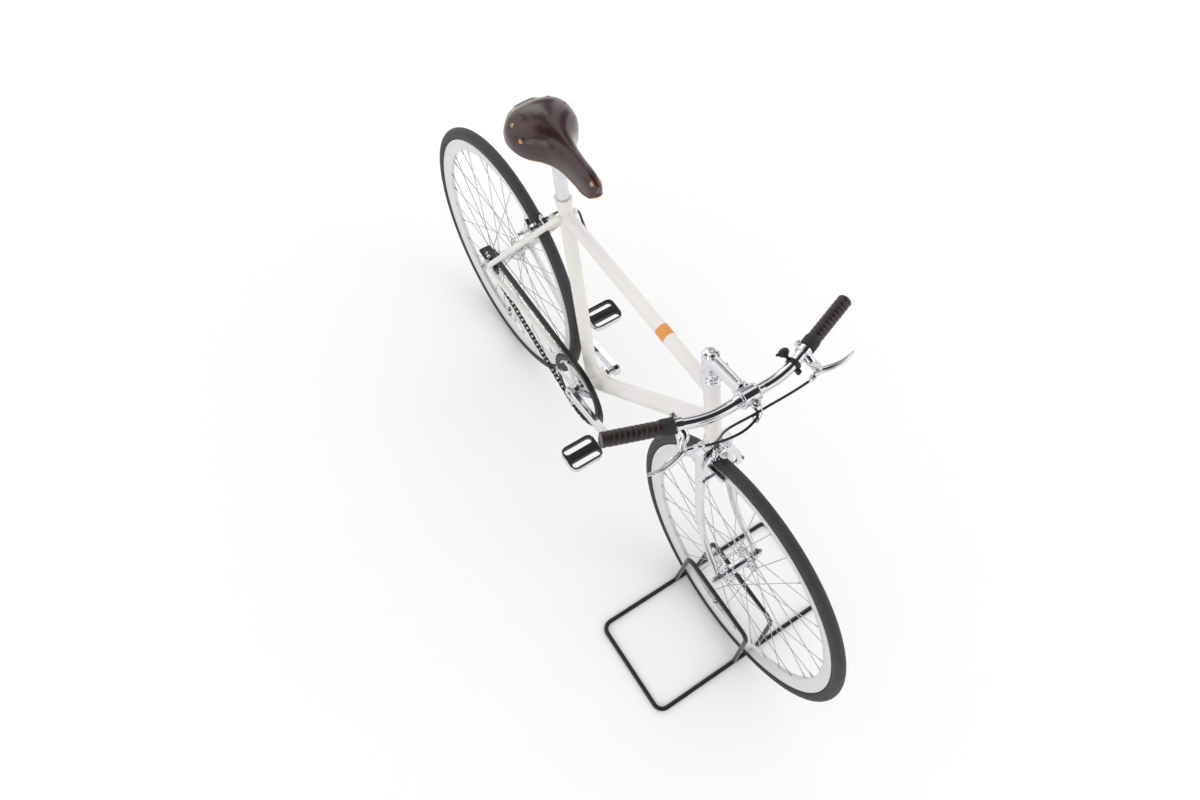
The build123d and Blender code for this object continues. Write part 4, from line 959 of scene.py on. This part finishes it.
class BICYCLE_OT_pedals(bpy.types.Operator):
    """Models both pedals: a black frame with two openings in a bright cage"""

    bl_idname = "bicycle.pedals"
    bl_label = "Pedals"

    def execute(self, context):
        shape = context.scene.bicycle_pedal
        for side, name in ((-1, "right_pedal"), (1, "left_pedal")):
            centre, size = middle(name), high(name) - low(name)
            pieces = [self.frame_of(name, centre, size, shape), *self.ribs(centre, size)]
            body = joined(f"{name}_body", pieces)
            fitted(body, f"{name}_platform", "black_plastic", "pedal_black", name)
            cage = self.cage(name, centre, size, shape)
            fitted(cage, f"{name}_platform", "bright_plate", "steel")
            end = Vector((centre.x, centre.y + side * (size.y / 2 + 0.0005), centre.z))
            cap = turned(f"{name}_end_cap", dome(0.0085, 0.0035), 24, end, Y * side)
            fitted(cap, f"{name}_platform", "bright_plate", "steel")
        return {"FINISHED"}

    def frame_of(self, name, centre, size, shape):
        """Black block cut through by two long openings."""
        body = cornered_block(f"{name}_frame", centre, size, shape.corner)
        across = size.x / 2 - shape.rim - shape.opening / 2
        for place in (across, -across):
            hole_size = (shape.opening, size.y - 2 * shape.rim, 2 * size.z)
            hole_at = centre + Vector((place, 0.0, 0.0))
            hole = cornered_block("opening", hole_at, hole_size, shape.opening * 0.46)
            only(body)
            cut = body.modifiers.new("opening", "BOOLEAN")
            cut.object = hole
            cut.operation = "DIFFERENCE"
            bpy.ops.object.modifier_apply(modifier=cut.name)
            bpy.data.objects.remove(hole)
        return eased(body, 0.0006)

    def ribs(self, centre, size):
        """Low ribs across the middle bar, above and below, for the shoe."""
        made = []
        for way in (1, -1):
            for step in range(9):
                spot = centre + Vector((0.0, (step - 4) * 0.0075, way * (size.z / 2 + 0.0001)))
                rib = cornered_block("rib", spot, (0.0165, 0.0022, 0.0010), 0.0006, 1)
                made.append(rib)
        return made

    def cage(self, name, centre, size, shape):
        """Bright wall round the frame, a little lower than it."""
        cage = cornered_block(f"{name}_cage", centre, (size.x, size.y, size.z - 0.0016), shape.corner)
        choose(cage, "FACE", lambda face: abs(face.normal.z) > 0.9)
        bpy.ops.mesh.delete(type="FACE")
        bpy.ops.object.mode_set(mode="OBJECT")
        wall = cage.modifiers.new("wall", "SOLIDIFY")
        wall.thickness = shape.wall
        wall.offset = 1.0
        bpy.ops.object.modifier_apply(modifier=wall.name)
        return eased(cage, 0.0003)


class BICYCLE_OT_grips(bpy.types.Operator):
    """Wraps both grips in leather bands, with a black collar at each inner end"""

    bl_idname = "bicycle.grips"
    bl_label = "Wrapped grips"

    def execute(self, context):
        size = context.scene.bicycle_grip
        made = []
        for side in (1, -1):
            foot, out = SIDES[side](GRIP_FOOT), SIDES[side](-GRIP_DIR)
            wrap = drawn_up(f"wrapped_grip_{side + 2}", self.wrap_profile(size), 36, math.radians(9.0))
            made.append(settle(wrap, along(foot, out)))
            r, wide = size.collar, size.collar_length
            collar = turned(f"grip_collar_{side + 2}", [
                (r - 0.003, 0.0), (r - 0.0008, 0.0006), (r, 0.002), (r, wide - 0.002),
                (r - 0.0008, wide - 0.0006), (r - 0.003, wide),
            ], 36, foot, out)
            fitted(collar, "front_end", "black_rubber", "brake_rubber")
        grip = joined("wrapped_grips", made)
        fitted(grip, "front_end", "wrapped_leather", "grip_leather", "grips")
        return {"FINISHED"}

    def wrap_profile(self, size):
        """Bands of leather, each crowned and lapped over the next, then the rounded end."""
        profile = [(size.radius - 0.0016, size.collar_length - 0.006)]
        height = size.collar_length - 0.002
        while height + size.band < size.length:
            for share, drop in ((0.0, 0.0010), (0.18, 0.0003), (0.5, 0.0), (0.82, 0.0003)):
                profile.append((size.radius - drop, height + share * size.band))
            height += size.band
        profile.append((size.radius - 0.001, height))
        end = size.length + 0.002
        return profile + [(size.radius, end - 0.004), (size.radius - 0.0002, end - 0.0010),
                          (size.radius - 0.0012, end), (0.004, end)]


# Each station of the saddle's edge: share of its length, half width and drop below the top.
SADDLE_EDGE = (
    (0.00, 0.0315, 0.042), (0.075, 0.0600, 0.050), (0.16, 0.0735, 0.058), (0.25, 0.0750, 0.062),
    (0.38, 0.0615, 0.065), (0.49, 0.0375, 0.063), (0.61, 0.0248, 0.058), (0.79, 0.0203, 0.054),
    (0.94, 0.0173, 0.052), (1.00, 0.0075, 0.044),
)


class BICYCLE_OT_saddle_dressing(bpy.types.Operator):
    """Edges the saddle's skirt in raw leather and sets its copper rivets"""

    bl_idname = "bicycle.saddle_dressing"
    bl_label = "Saddle edge and rivets"

    def execute(self, context):
        back, front, top = low("saddle").x, high("saddle").x, high("saddle").z
        side = [(back + (front - back) * share, half - 0.0013, top - drop + 0.0006)
                for share, half, drop in SADDLE_EDGE]
        loop = side + [(x, -y, z) for x, y, z in reversed(side)]
        edge = strand("saddle_cut_edge", loop, 0.0017, closed=True, smooth="BEZIER")
        fitted(edge, "frame", "raw_leather", "saddle_leather")
        spots = [(back + 0.074 - 0.064 * math.cos(math.radians(a)), 0.0645 * math.sin(math.radians(a)))
                 for a in (-101, -69, -36, 0, 36, 69, 101)]
        spots += [(front - 0.012, 0.0085), (front - 0.012, -0.0085)]
        rivets = []
        for x, y in spots:
            place, normal = surface_below("saddle", Vector((x, y, top + 0.1)))
            rivets.append(turned("rivet", [
                (0.0048, -0.0004), (0.0048, 0.0003), (0.0044, 0.0008), (0.0030, 0.0013), (0.0010, 0.0015),
            ], 20, place, normal))
        fitted(joined("saddle_rivets", rivets), "frame", "hammered_copper", "steel")
        return {"FINISHED"}


def adjuster_top(brake):
    """Where the cable runs into a brake's adjuster."""
    foot, down, outward, _ = BRAKES[brake]
    return foot - down * 0.020 + outward * 0.009 + down.cross(outward) * 0.020


class BICYCLE_OT_cables(bpy.types.Operator):
    """Runs both brake cables, with their ferrules, guides and the wire that holds them"""

    bl_idname = "bicycle.cables"
    bl_label = "Brake cables"

    def execute(self, context):
        thickness = context.scene.bicycle_cable.radius
        for name, points, body, node in self.routes():
            run = strand(name, points, thickness)
            if body:
                fitted(run, body, "cable_sheath", "cable_black", node)
            else:
                wear(run, "cable_sheath")
                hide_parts(node)
                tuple(points[4])
                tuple(points[-1])
                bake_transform(run)
            if node != "rear_brake_cable":
                self.add_ferrule(f"{name}_start", points[0], points[1], "front_end")
            if body:
                self.add_ferrule(f"{name}_end", points[-1], points[-2], body)
        self.add_hanger()
        self.add_guides()
        return {"FINISHED"}

    def routes(self):
        """Points of each run, from the bar's clamped middle, the frame and the brakes."""
        from_bar = [(0.033, 0.090, -0.007), (0.034, 0.050, -0.003), (0.035, 0.015, 0.003),
                    (0.032, -0.012, -0.008), (0.024, -0.042, -0.027), (0.013, -0.048, -0.067),
                    (0.004, -0.040, -0.127)]
        front_end = adjuster_top("front")
        front = [LEVER_EXIT] + [BAR_CENTRE + Vector(p) for p in from_bar]
        front += [front_end + STEER_DIR * 0.030, front_end]
        from_bar = [(0.037, -0.098, -0.019), (0.042, -0.060, -0.027), (0.043, -0.030, -0.027),
                    (0.039, -0.006, -0.015), (0.028, 0.008, -0.024), (0.012, 0.014, -0.038),
                    (-0.018, 0.008, -0.038), (-0.045, 0.010, -0.046)]
        joint = steer(0.553, 0.0, 0.034)
        loop = [opposite(LEVER_EXIT)] + [BAR_CENTRE + Vector(p) for p in from_bar]
        loop += [joint + STEER_DIR * 0.022, joint]
        ahead = TOP_TUBE_AHEAD
        rear_end = adjuster_top("rear")
        stay_down = BRAKES["rear"][1]
        beside = CLUSTER + Y * 0.020 + Vector((-0.4903, 0.08838, -0.86706)) * 0.060
        rear = [
            joint,
            joint - STEER_DIR * 0.022,
            HEAD_JOIN - ahead * 0.0264 + Vector((0.0, 0.025, -0.008)),
            HEAD_JOIN - ahead * 0.066 + BELOW_LEFT + Vector((0.0, 0.002, -0.001)),
            CLUSTER + ahead * 0.070 + BELOW_LEFT,
            CLUSTER + ahead * 0.028 + Vector((0.0, 0.024, -0.012)),
            CLUSTER - ahead * 0.008 + Vector((0.0, 0.037, -0.014)),
            beside + Y * 0.014 + STAY_BACK * 0.008,
            rear_end - stay_down * 0.045,
            rear_end,
        ]
        return (
            ("front_cable", front, "front_end", "front_brake_cable"),
            ("rear_cable_loop", loop, None, "rear_brake_cable_loop"),
            ("rear_cable", rear, "frame", "rear_brake_cable"),
        )

    def add_ferrule(self, name, place, towards, body):
        ferrule = turned(f"{name}_ferrule", [
            (0.0026, -0.001), (0.0038, -0.001), (0.0038, 0.003), (0.0033, 0.0036), (0.0033, 0.009),
            (0.0029, 0.0096),
        ], 20, place, towards - place)
        fitted(ferrule, body, "bright_plate", "chrome")

    def add_hanger(self):
        """Bright wire hook from the bar's clamp that holds both loops, with a tie below."""
        points = [(0.018, 0.006, 0.010), (0.022, 0.004, 0.015), (0.030, 0.002, 0.014), (0.040, 0.0, 0.004),
                  (0.044, -0.005, -0.010), (0.042, -0.011, -0.021), (0.034, -0.011, -0.018),
                  (0.031, -0.008, -0.008)]
        wire = strand("cable_hanger", [BAR_CENTRE + Vector(p) for p in points], 0.0011)
        fitted(wire, "front_end", "bright_plate", "chrome")
        tie = begin(
            bpy.ops.mesh.primitive_torus_add,
            major_radius=0.0068,
            minor_radius=0.0010,
            major_segments=32,
            minor_segments=8,
            location=BAR_CENTRE + Vector((0.0385, -0.009, -0.013)),
            rotation=(math.pi / 2, 0.0, 0.15),
        )
        tie.name = "cable_tie"
        tie.scale = (0.85, 1.55, 1.6)
        settle(tie)
        close_shape(60.0)
        fitted(tie, "front_end", "black_plastic", "cable_black")

    def add_guides(self):
        """Brazed guides, in the frame's colour, that carry the rear cable."""
        guide = drawn_up("guide", [
            (0.0027, -0.005), (0.0040, -0.0044), (0.0044, -0.002), (0.0044, 0.002), (0.0040, 0.0044),
            (0.0027, 0.005),
        ], 20)
        inset = TOP_TUBE_AHEAD * 0.085
        places = (HEAD_JOIN - inset, (HEAD_JOIN + CLUSTER) / 2, CLUSTER + inset)
        matrices = [along(place + BELOW_LEFT, TOP_TUBE_AHEAD) for place in places]
        guides = repeated("cable_guides", guide, matrices)
        fitted(guides, "frame", "frame_enamel", "cream_paint")


class BICYCLE_OT_brake_fittings(bpy.types.Operator):
    """Adds shoes, nuts, springs and adjusters to the brakes, and dresses levers and bell"""

    bl_idname = "bicycle.brake_fittings"
    bl_label = "Brake fittings"

    def execute(self, context):
        for brake in BRAKES:
            foot, down, outward, body = BRAKES[brake]
            pads = middle(f"{brake}_brake_pads")
            bright = self.centre_stack(foot, outward)
            bright.append(self.adjuster(brake))
            bright += self.springs(foot, down, outward, pads)
            for side in (1, -1):
                bright.append(self.shoe(pads, side, down, outward))
                profile = nut_shape(0.0058, 0.0046) + dome(0.0036, 0.003)[1:4]
                nut_at = Vector((pads.x, side * 0.0478, pads.z))
                bright.append(turned("block_nut", profile, 6, nut_at, Y * side))
            fitted(joined(f"{brake}_brake_fittings", bright), body, "bright_plate", "chrome")
        self.lever_blades()
        self.lever_fittings()
        self.bell_parts()
        return {"FINISHED"}

    def centre_stack(self, foot, outward):
        """Toothed washer, hexagon and domed nut on the arms' centre bolt."""
        stack = (
            ("washer", [(0.0092, 0.0), (0.0092, 0.0012), (0.0084, 0.0018)], 28, 0.0120),
            ("pivot_nut", nut_shape(0.0072, 0.0046), 6, 0.0138),
            ("domed_nut", [(0.0052, -0.001)] + dome(0.0052, 0.0052)[1:], 20, 0.0180),
        )
        return [turned(name, profile, sides, foot + outward * height, outward)
                for name, profile, sides, height in stack]

    def adjuster(self, brake):
        """Knurled barrel that the cable runs into."""
        profile = [(0.0040, -0.012)]
        for step in range(6):
            profile += [(0.0058, -0.0115 + step * 0.0016), (0.0053, -0.0107 + step * 0.0016)]
        profile += [(0.0042, -0.0018), (0.0036, 0.0)]
        return turned("adjuster_barrel", profile, 20, adjuster_top(brake), -BRAKES[brake][1])

    def springs(self, foot, down, outward, pads):
        """Return spring: one wire a side, from the centre bolt round to the arm."""
        wires = []
        reach = (pads - foot).dot(down)
        for side in (1, -1):
            points = [(0.000, -0.0035), (0.012, -0.0055), (0.027, 0.000), (0.0395, 0.016),
                      (0.0385, reach - 0.014)]
            route = [foot - outward * 0.0018 + down * fall + Y * side * out for out, fall in points]
            wires.append(strand("return_spring", route, 0.0009))
        return wires

    def shoe(self, pads, side, down, outward):
        """Channel of bent metal that holds one rubber block."""
        shoe = begin(bpy.ops.mesh.primitive_cube_add, size=1.0)
        shoe.scale = (0.0505, 0.0115, 0.0052)
        settle(shoe)
        bpy.ops.object.mode_set(mode="EDIT")
        bpy.ops.mesh.select_all(action="SELECT")
        bpy.ops.mesh.bevel(offset=0.0012, segments=3, affect="EDGES")
        bpy.ops.object.mode_set(mode="OBJECT")
        close_shape()
        out = 0.0105 + 0.0020 + 0.0080 - 0.0014
        turn = Matrix((outward, Y.cross(outward) * side, Y * side)).transposed().to_4x4()
        return settle(shoe, Matrix.Translation((pads.x, side * out, pads.z)) @ turn)

    def lever_blades(self):
        """Flat tapering blades and the curved straps that carry them."""
        made = []
        for side in (1, -1):
            flip = SIDES[side]
            tip = LEVER_PIVOT + Vector((0.005, 0.080, 0.004))
            bow = Vector((0.007, 0.0, 0.0))
            route = [LEVER_PIVOT - Vector((0.001, 0.004, 0.0)), LEVER_PIVOT.lerp(tip, 0.25) + bow * 0.7,
                     LEVER_PIVOT.lerp(tip, 0.5) + bow, LEVER_PIVOT.lerp(tip, 0.78) + bow * 0.7, tip]
            blade = strand("blade", [flip(p) for p in route], 0.0064, smooth="BEZIER",
                           swell=(1.1, 1.0, 0.92, 0.7, 0.42))
            made.append(blade)
            start = LEVER_AT + Vector((0.010, 0.0, -0.002))
            strap = [start, start + Vector((0.012, 0.001, -0.003)),
                     LEVER_PIVOT - Vector((0.008, 0.001, -0.010)),
                     LEVER_PIVOT + Vector((0.0, 0.0, 0.002))]
            made.append(strand("strap", [flip(p) for p in strap], 0.0086, smooth="BEZIER",
                               swell=(1.15, 1.0, 0.95, 1.0)))
        fitted(joined("lever_blades", made), "front_end", "bright_plate", "polished_alloy")

    def lever_fittings(self):
        """Pivot screws, band screws and knurled adjusters at the levers."""
        bright = []
        for side in (1, -1):
            flip = SIDES[side]
            for way in (1, -1):
                seat = flip(LEVER_PIVOT) + UP * way * 0.0078
                bright.append(turned("pivot_screw", bolt_head(0.0048, 0.0022), 20, seat, UP * way))
            seat = flip(LEVER_AT + Vector((-0.0165, 0.0, 0.0065)))
            bright.append(turned("band_screw", bolt_head(0.0042, 0.0040), 20, seat, UP))
            way = flip(LEVER_EXIT - LEVER_PIVOT).normalized()
            profile = [(0.0050, -0.0100)]
            for step in range(4):
                profile += [(0.0064, -0.0092 + step * 0.0018), (0.0058, -0.0083 + step * 0.0018)]
            profile += [(0.0046, -0.0014), (0.0042, 0.0004)]
            bright.append(turned("lever_adjuster", profile, 20, flip(LEVER_EXIT), way))
        fitted(joined("lever_fittings", bright), "front_end", "bright_plate", "chrome")

    def bell_parts(self):
        """Domed cap and striker of the bell, and the tab that closes its band."""
        at = LEVER_AT + GRIP_DIR * 0.033
        foot = at + Vector((-0.018, -0.003, 0.005))
        lean = Vector((-0.82, -0.20, 0.53)).normalized()
        cap = turned("bell_cap", [
            (0.0104, 0.0), (0.0108, 0.0010), (0.0104, 0.0026), (0.0086, 0.0052), (0.0054, 0.0070),
            (0.0020, 0.0078),
        ], 32, foot + lean * 0.0085, lean)
        hammer = strand("striker", [foot + lean * 0.002, foot + Vector((-0.004, -0.010, 0.004)),
                                    foot + lean * 0.010 + Vector((0.0, -0.0135, 0.0))], 0.0016)
        knob_at = foot + lean * 0.009 + Vector((0.0, -0.0135, 0.0))
        knob = turned("striker_knob", dome(0.0034, 0.004), 16, knob_at, lean)
        tab_at = at + Vector((0.0155, 0.001, -0.004))
        tab = cornered_block("band_tab", tab_at, (0.010, 0.0075, 0.010), 0.002)
        eased(tab, 0.0006)
        fitted(joined("bell_parts", [cap, hammer, knob, tab]), "front_end", "black_plastic", "pedal_black")


class BICYCLE_OT_stem_fittings(bpy.types.Operator):
    """Adds the stem's bolt, collar, clamp and headset lock, and the guard's bolts"""

    bl_idname = "bicycle.stem_fittings"
    bl_label = "Stem and guard bolts"

    def execute(self, context):
        bolt = turned("stem_wedge_bolt", [
            (0.0058, 0.0), (0.0058, 0.0010), (0.0050, 0.0016), (0.0034, 0.0016), (0.0032, -0.0012),
        ], 24, steer(0.6160), STEER_DIR)
        fitted(bolt, "front_end", "turned_alloy", "steel")
        collar = turned("stem_collar", [
            (0.0112, -0.0012), (0.0148, -0.0012), (0.0152, 0.0), (0.0148, 0.0012), (0.0112, 0.0012),
        ], 40, steer(0.5772), STEER_DIR)
        fitted(collar, "front_end", "bright_plate", "chrome")
        lock = turned("round_headset_lock", [
            (0.0127, 0.0), (0.0193, 0.0), (0.0195, 0.0006), (0.0187, 0.0042), (0.0157, 0.00882),
            (0.0147, 0.0102), (0.0147, 0.0142), (0.0143, 0.0147), (0.0137, 0.0150), (0.0137, 0.0158),
            (0.0144, 0.0164), (0.0146, 0.0169), (0.0146, 0.0196), (0.0142, 0.0203), (0.0134, 0.0210),
        ], 64, steer(0.5526), STEER_DIR)
        fitted(lock, "front_end", "bright_plate", "chrome", "headset_lock")
        ring = drawn_up("clamp_ring", [
            (0.0177, -0.0021), (0.0182, -0.0013), (0.0182, 0.0013), (0.0177, 0.0021),
        ], 48)
        rings = repeated("clamp_rings", ring, [along(BAR_CENTRE + Y * y, Y) for y in (-0.0165, 0.0165)])
        close_shape()
        fitted(rings, "front_end", "bright_plate", "polished_alloy")
        ahead = polar(11.8)
        plate_at = BAR_CENTRE + ahead * 0.0215
        plate = cornered_block("hanger_plate", plate_at, (0.013, 0.016, 0.012), 0.003)
        eased(plate, 0.0008)
        top_bolt = turned("clamp_bolt", bolt_head(0.0052, 0.0045), 24, plate_at + UP * 0.0058, UP)
        low_nut = turned("clamp_nut", nut_shape(0.0058, 0.005), 6, plate_at - UP * 0.0058, -UP)
        profile = [(0.0150, -0.0050), (0.0156, -0.0040), (0.0156, 0.0040), (0.0150, 0.0050)]
        rib = turned("clamp_rib", profile, 40, BAR_CENTRE - ahead * 0.0215, ahead)
        bracket = joined("clamp_bracket", [plate, top_bolt, low_nut, rib])
        fitted(bracket, "front_end", "bright_plate", "polished_alloy")
        bolts = []
        for inset in (0.018, 0.030):
            above = Vector((low("chain_guard").x + inset, high("chain_guard").y - 0.020, 0.6))
            place, normal = surface_below("chain_guard", above)
            bolts.append(turned("guard_bolt", dome(0.0052, 0.0026), 20, place, normal))
        fitted(joined("guard_bolts", bolts), "frame", "bright_plate", "steel")
        return {"FINISHED"}


def aimed(eye, aim, roll):
    """Matrix of a camera at eye that looks at aim, turned about its line of sight."""
    ahead = (aim - eye).normalized()
    right = ahead.cross(UP).normalized()
    up = right.cross(ahead)
    tilted_right = right * math.cos(roll) + up * math.sin(roll)
    tilted_up = up * math.cos(roll) - right * math.sin(roll)
    turn = Matrix((tilted_right, tilted_up, -ahead)).transposed()
    return Matrix.Translation(eye) @ turn.to_4x4()


class BICYCLE_OT_stage(bpy.types.Operator):
    """Sets the pale floor, the soft lights and the camera"""

    bl_idname = "bicycle.stage"
    bl_label = "Set the stage"

    def execute(self, context):
        stage = context.scene.bicycle_stage
        self.add_camera(context, stage)
        self.add_floor(stage)
        self.add_world(context, stage)
        self.add_panel(context, "rear_panel", (-3.4, 0.8, 3.0), 2.0, stage.key)
        self.add_panel(context, "left_panel", (1.6, 3.4, 3.0), 2.0, stage.key)
        self.add_panel(context, "right_panel", (1.4, -3.8, 2.4), 2.0, stage.key)
        context.scene.view_settings.view_transform = "Standard"
        return {"FINISHED"}

    def add_camera(self, context, stage):
        data = bpy.data.cameras.new("camera")
        data.lens = stage.lens
        camera = bpy.data.objects.new("camera", data)
        camera.matrix_world = aimed(Vector(stage.eye), Vector(stage.aim), stage.roll)
        context.scene.collection.objects.link(camera)
        context.scene.camera = camera

    def add_floor(self, stage):
        bpy.ops.mesh.primitive_plane_add(size=stage.floor_size)
        floor = bpy.context.object
        floor.name = "floor"
        finish = Finish("pale_floor", (0.86, 0.86, 0.865), 0.9)
        seen = finish.node("ShaderNodeLightPath")
        mottled = finish.blend(finish.noise(3.0, 3.0), (0.86, 0.86, 0.865, 1.0), (0.85, 0.85, 0.855, 1.0))
        finish.feed("Base Color", finish.blend(seen, mottled, (1.0, 1.0, 1.0, 1.0)))
        finish.feed("Roughness", finish.noise(3.0, 3.0) * 0.1 + 0.85)
        wear(floor, "pale_floor")

    def add_world(self, context, stage):
        """White room with a dark opening overhead and a few dark upright gaps to mirror."""
        world = bpy.data.worlds.new("soft_room")
        context.scene.world = world
        world.use_nodes = True
        room = Network(world.node_tree)
        way = room.node("ShaderNodeTexCoord", output="Generated")
        overhead = room.between(room.dot(way, Vector((0.25, 0.05, 0.97))), 0.70, 0.82)
        upright = room.node("ShaderNodeMapping", inputs={"Vector": way, "Scale": (2.6, 2.6, 0.35)})
        gaps = room.node("ShaderNodeTexNoise", inputs={"Vector": upright, "Scale": 1.3, "Detail": 1.0})
        darkness = room.maths("MAXIMUM", overhead, room.between(gaps, 0.54, 0.60) * 0.8)
        seen = room.node("ShaderNodeLightPath")
        mirrored = room.node("ShaderNodeLightPath", output=3)
        shade = darkness * mirrored
        background = world.node_tree.nodes["Background"].inputs
        dark, white = (0.03, 0.03, 0.035, 1.0), (1.0, 1.0, 1.0, 1.0)
        backdrop = (1.06, 1.06, 1.06, 1.0)
        room.fill(background["Color"], room.blend(seen, room.blend(shade, white, dark), backdrop))
        background["Strength"].default_value = stage.sky

    def add_panel(self, context, name, place, size, power):
        data = bpy.data.lights.new(name, "AREA")
        data.shape = "SQUARE"
        data.size = size
        data.energy = power
        panel = bpy.data.objects.new(name, data)
        panel.matrix_world = aimed(Vector(place), Vector((0.01, 0.0, 0.4)), 0.0)
        context.scene.collection.objects.link(panel)


class BICYCLE_PT_sidebar(bpy.types.Panel):
    """Lists the dressing steps and their settings"""

    bl_idname = "BICYCLE_PT_sidebar"
    bl_label = "City bicycle"
    bl_space_type = "VIEW_3D"
    bl_region_type = "UI"
    bl_category = "Bicycle"

    def draw(self, context):
        for step in STEPS:
            self.layout.operator(step.bl_idname)
        for name in GROUPS:
            group = getattr(context.scene, name)
            for key in group.__annotations__:
                self.layout.prop(group, key)


STEPS = [
    BICYCLE_OT_finishes,
    BICYCLE_OT_tyres,
    BICYCLE_OT_wheel_fittings,
    BICYCLE_OT_chain,
    BICYCLE_OT_crank_fittings,
    BICYCLE_OT_pedals,
    BICYCLE_OT_grips,
    BICYCLE_OT_saddle_dressing,
    BICYCLE_OT_cables,
    BICYCLE_OT_brake_fittings,
    BICYCLE_OT_stem_fittings,
    BICYCLE_OT_stage,
]
GROUPS = {
    "bicycle_look": BicycleLook,
    "bicycle_chain": BicycleChain,
    "bicycle_pedal": BicyclePedal,
    "bicycle_cable": BicycleCable,
    "bicycle_grip": BicycleGrip,
    "bicycle_stage": BicycleStage,
}
CLASSES = [*GROUPS.values(), *STEPS, BICYCLE_PT_sidebar]


def register():
    for cls in CLASSES:
        bpy.utils.register_class(cls)
    for name, group in GROUPS.items():
        setattr(bpy.types.Scene, name, PointerProperty(type=group))


def unregister():
    for name in GROUPS:
        delattr(bpy.types.Scene, name)
    for cls in reversed(CLASSES):
        bpy.utils.unregister_class(cls)


def main():
    register()
    bpy.ops.bicycle.finishes()
    bpy.ops.bicycle.tyres()
    bpy.ops.bicycle.wheel_fittings()
    bpy.ops.bicycle.chain()
    bpy.ops.bicycle.crank_fittings()
    bpy.ops.bicycle.pedals()
    bpy.ops.bicycle.grips()
    bpy.ops.bicycle.saddle_dressing()
    bpy.ops.bicycle.cables()
    bpy.ops.bicycle.brake_fittings()
    bpy.ops.bicycle.stem_fittings()
    bpy.ops.bicycle.stage()


if __name__ == "__main__":
    main()
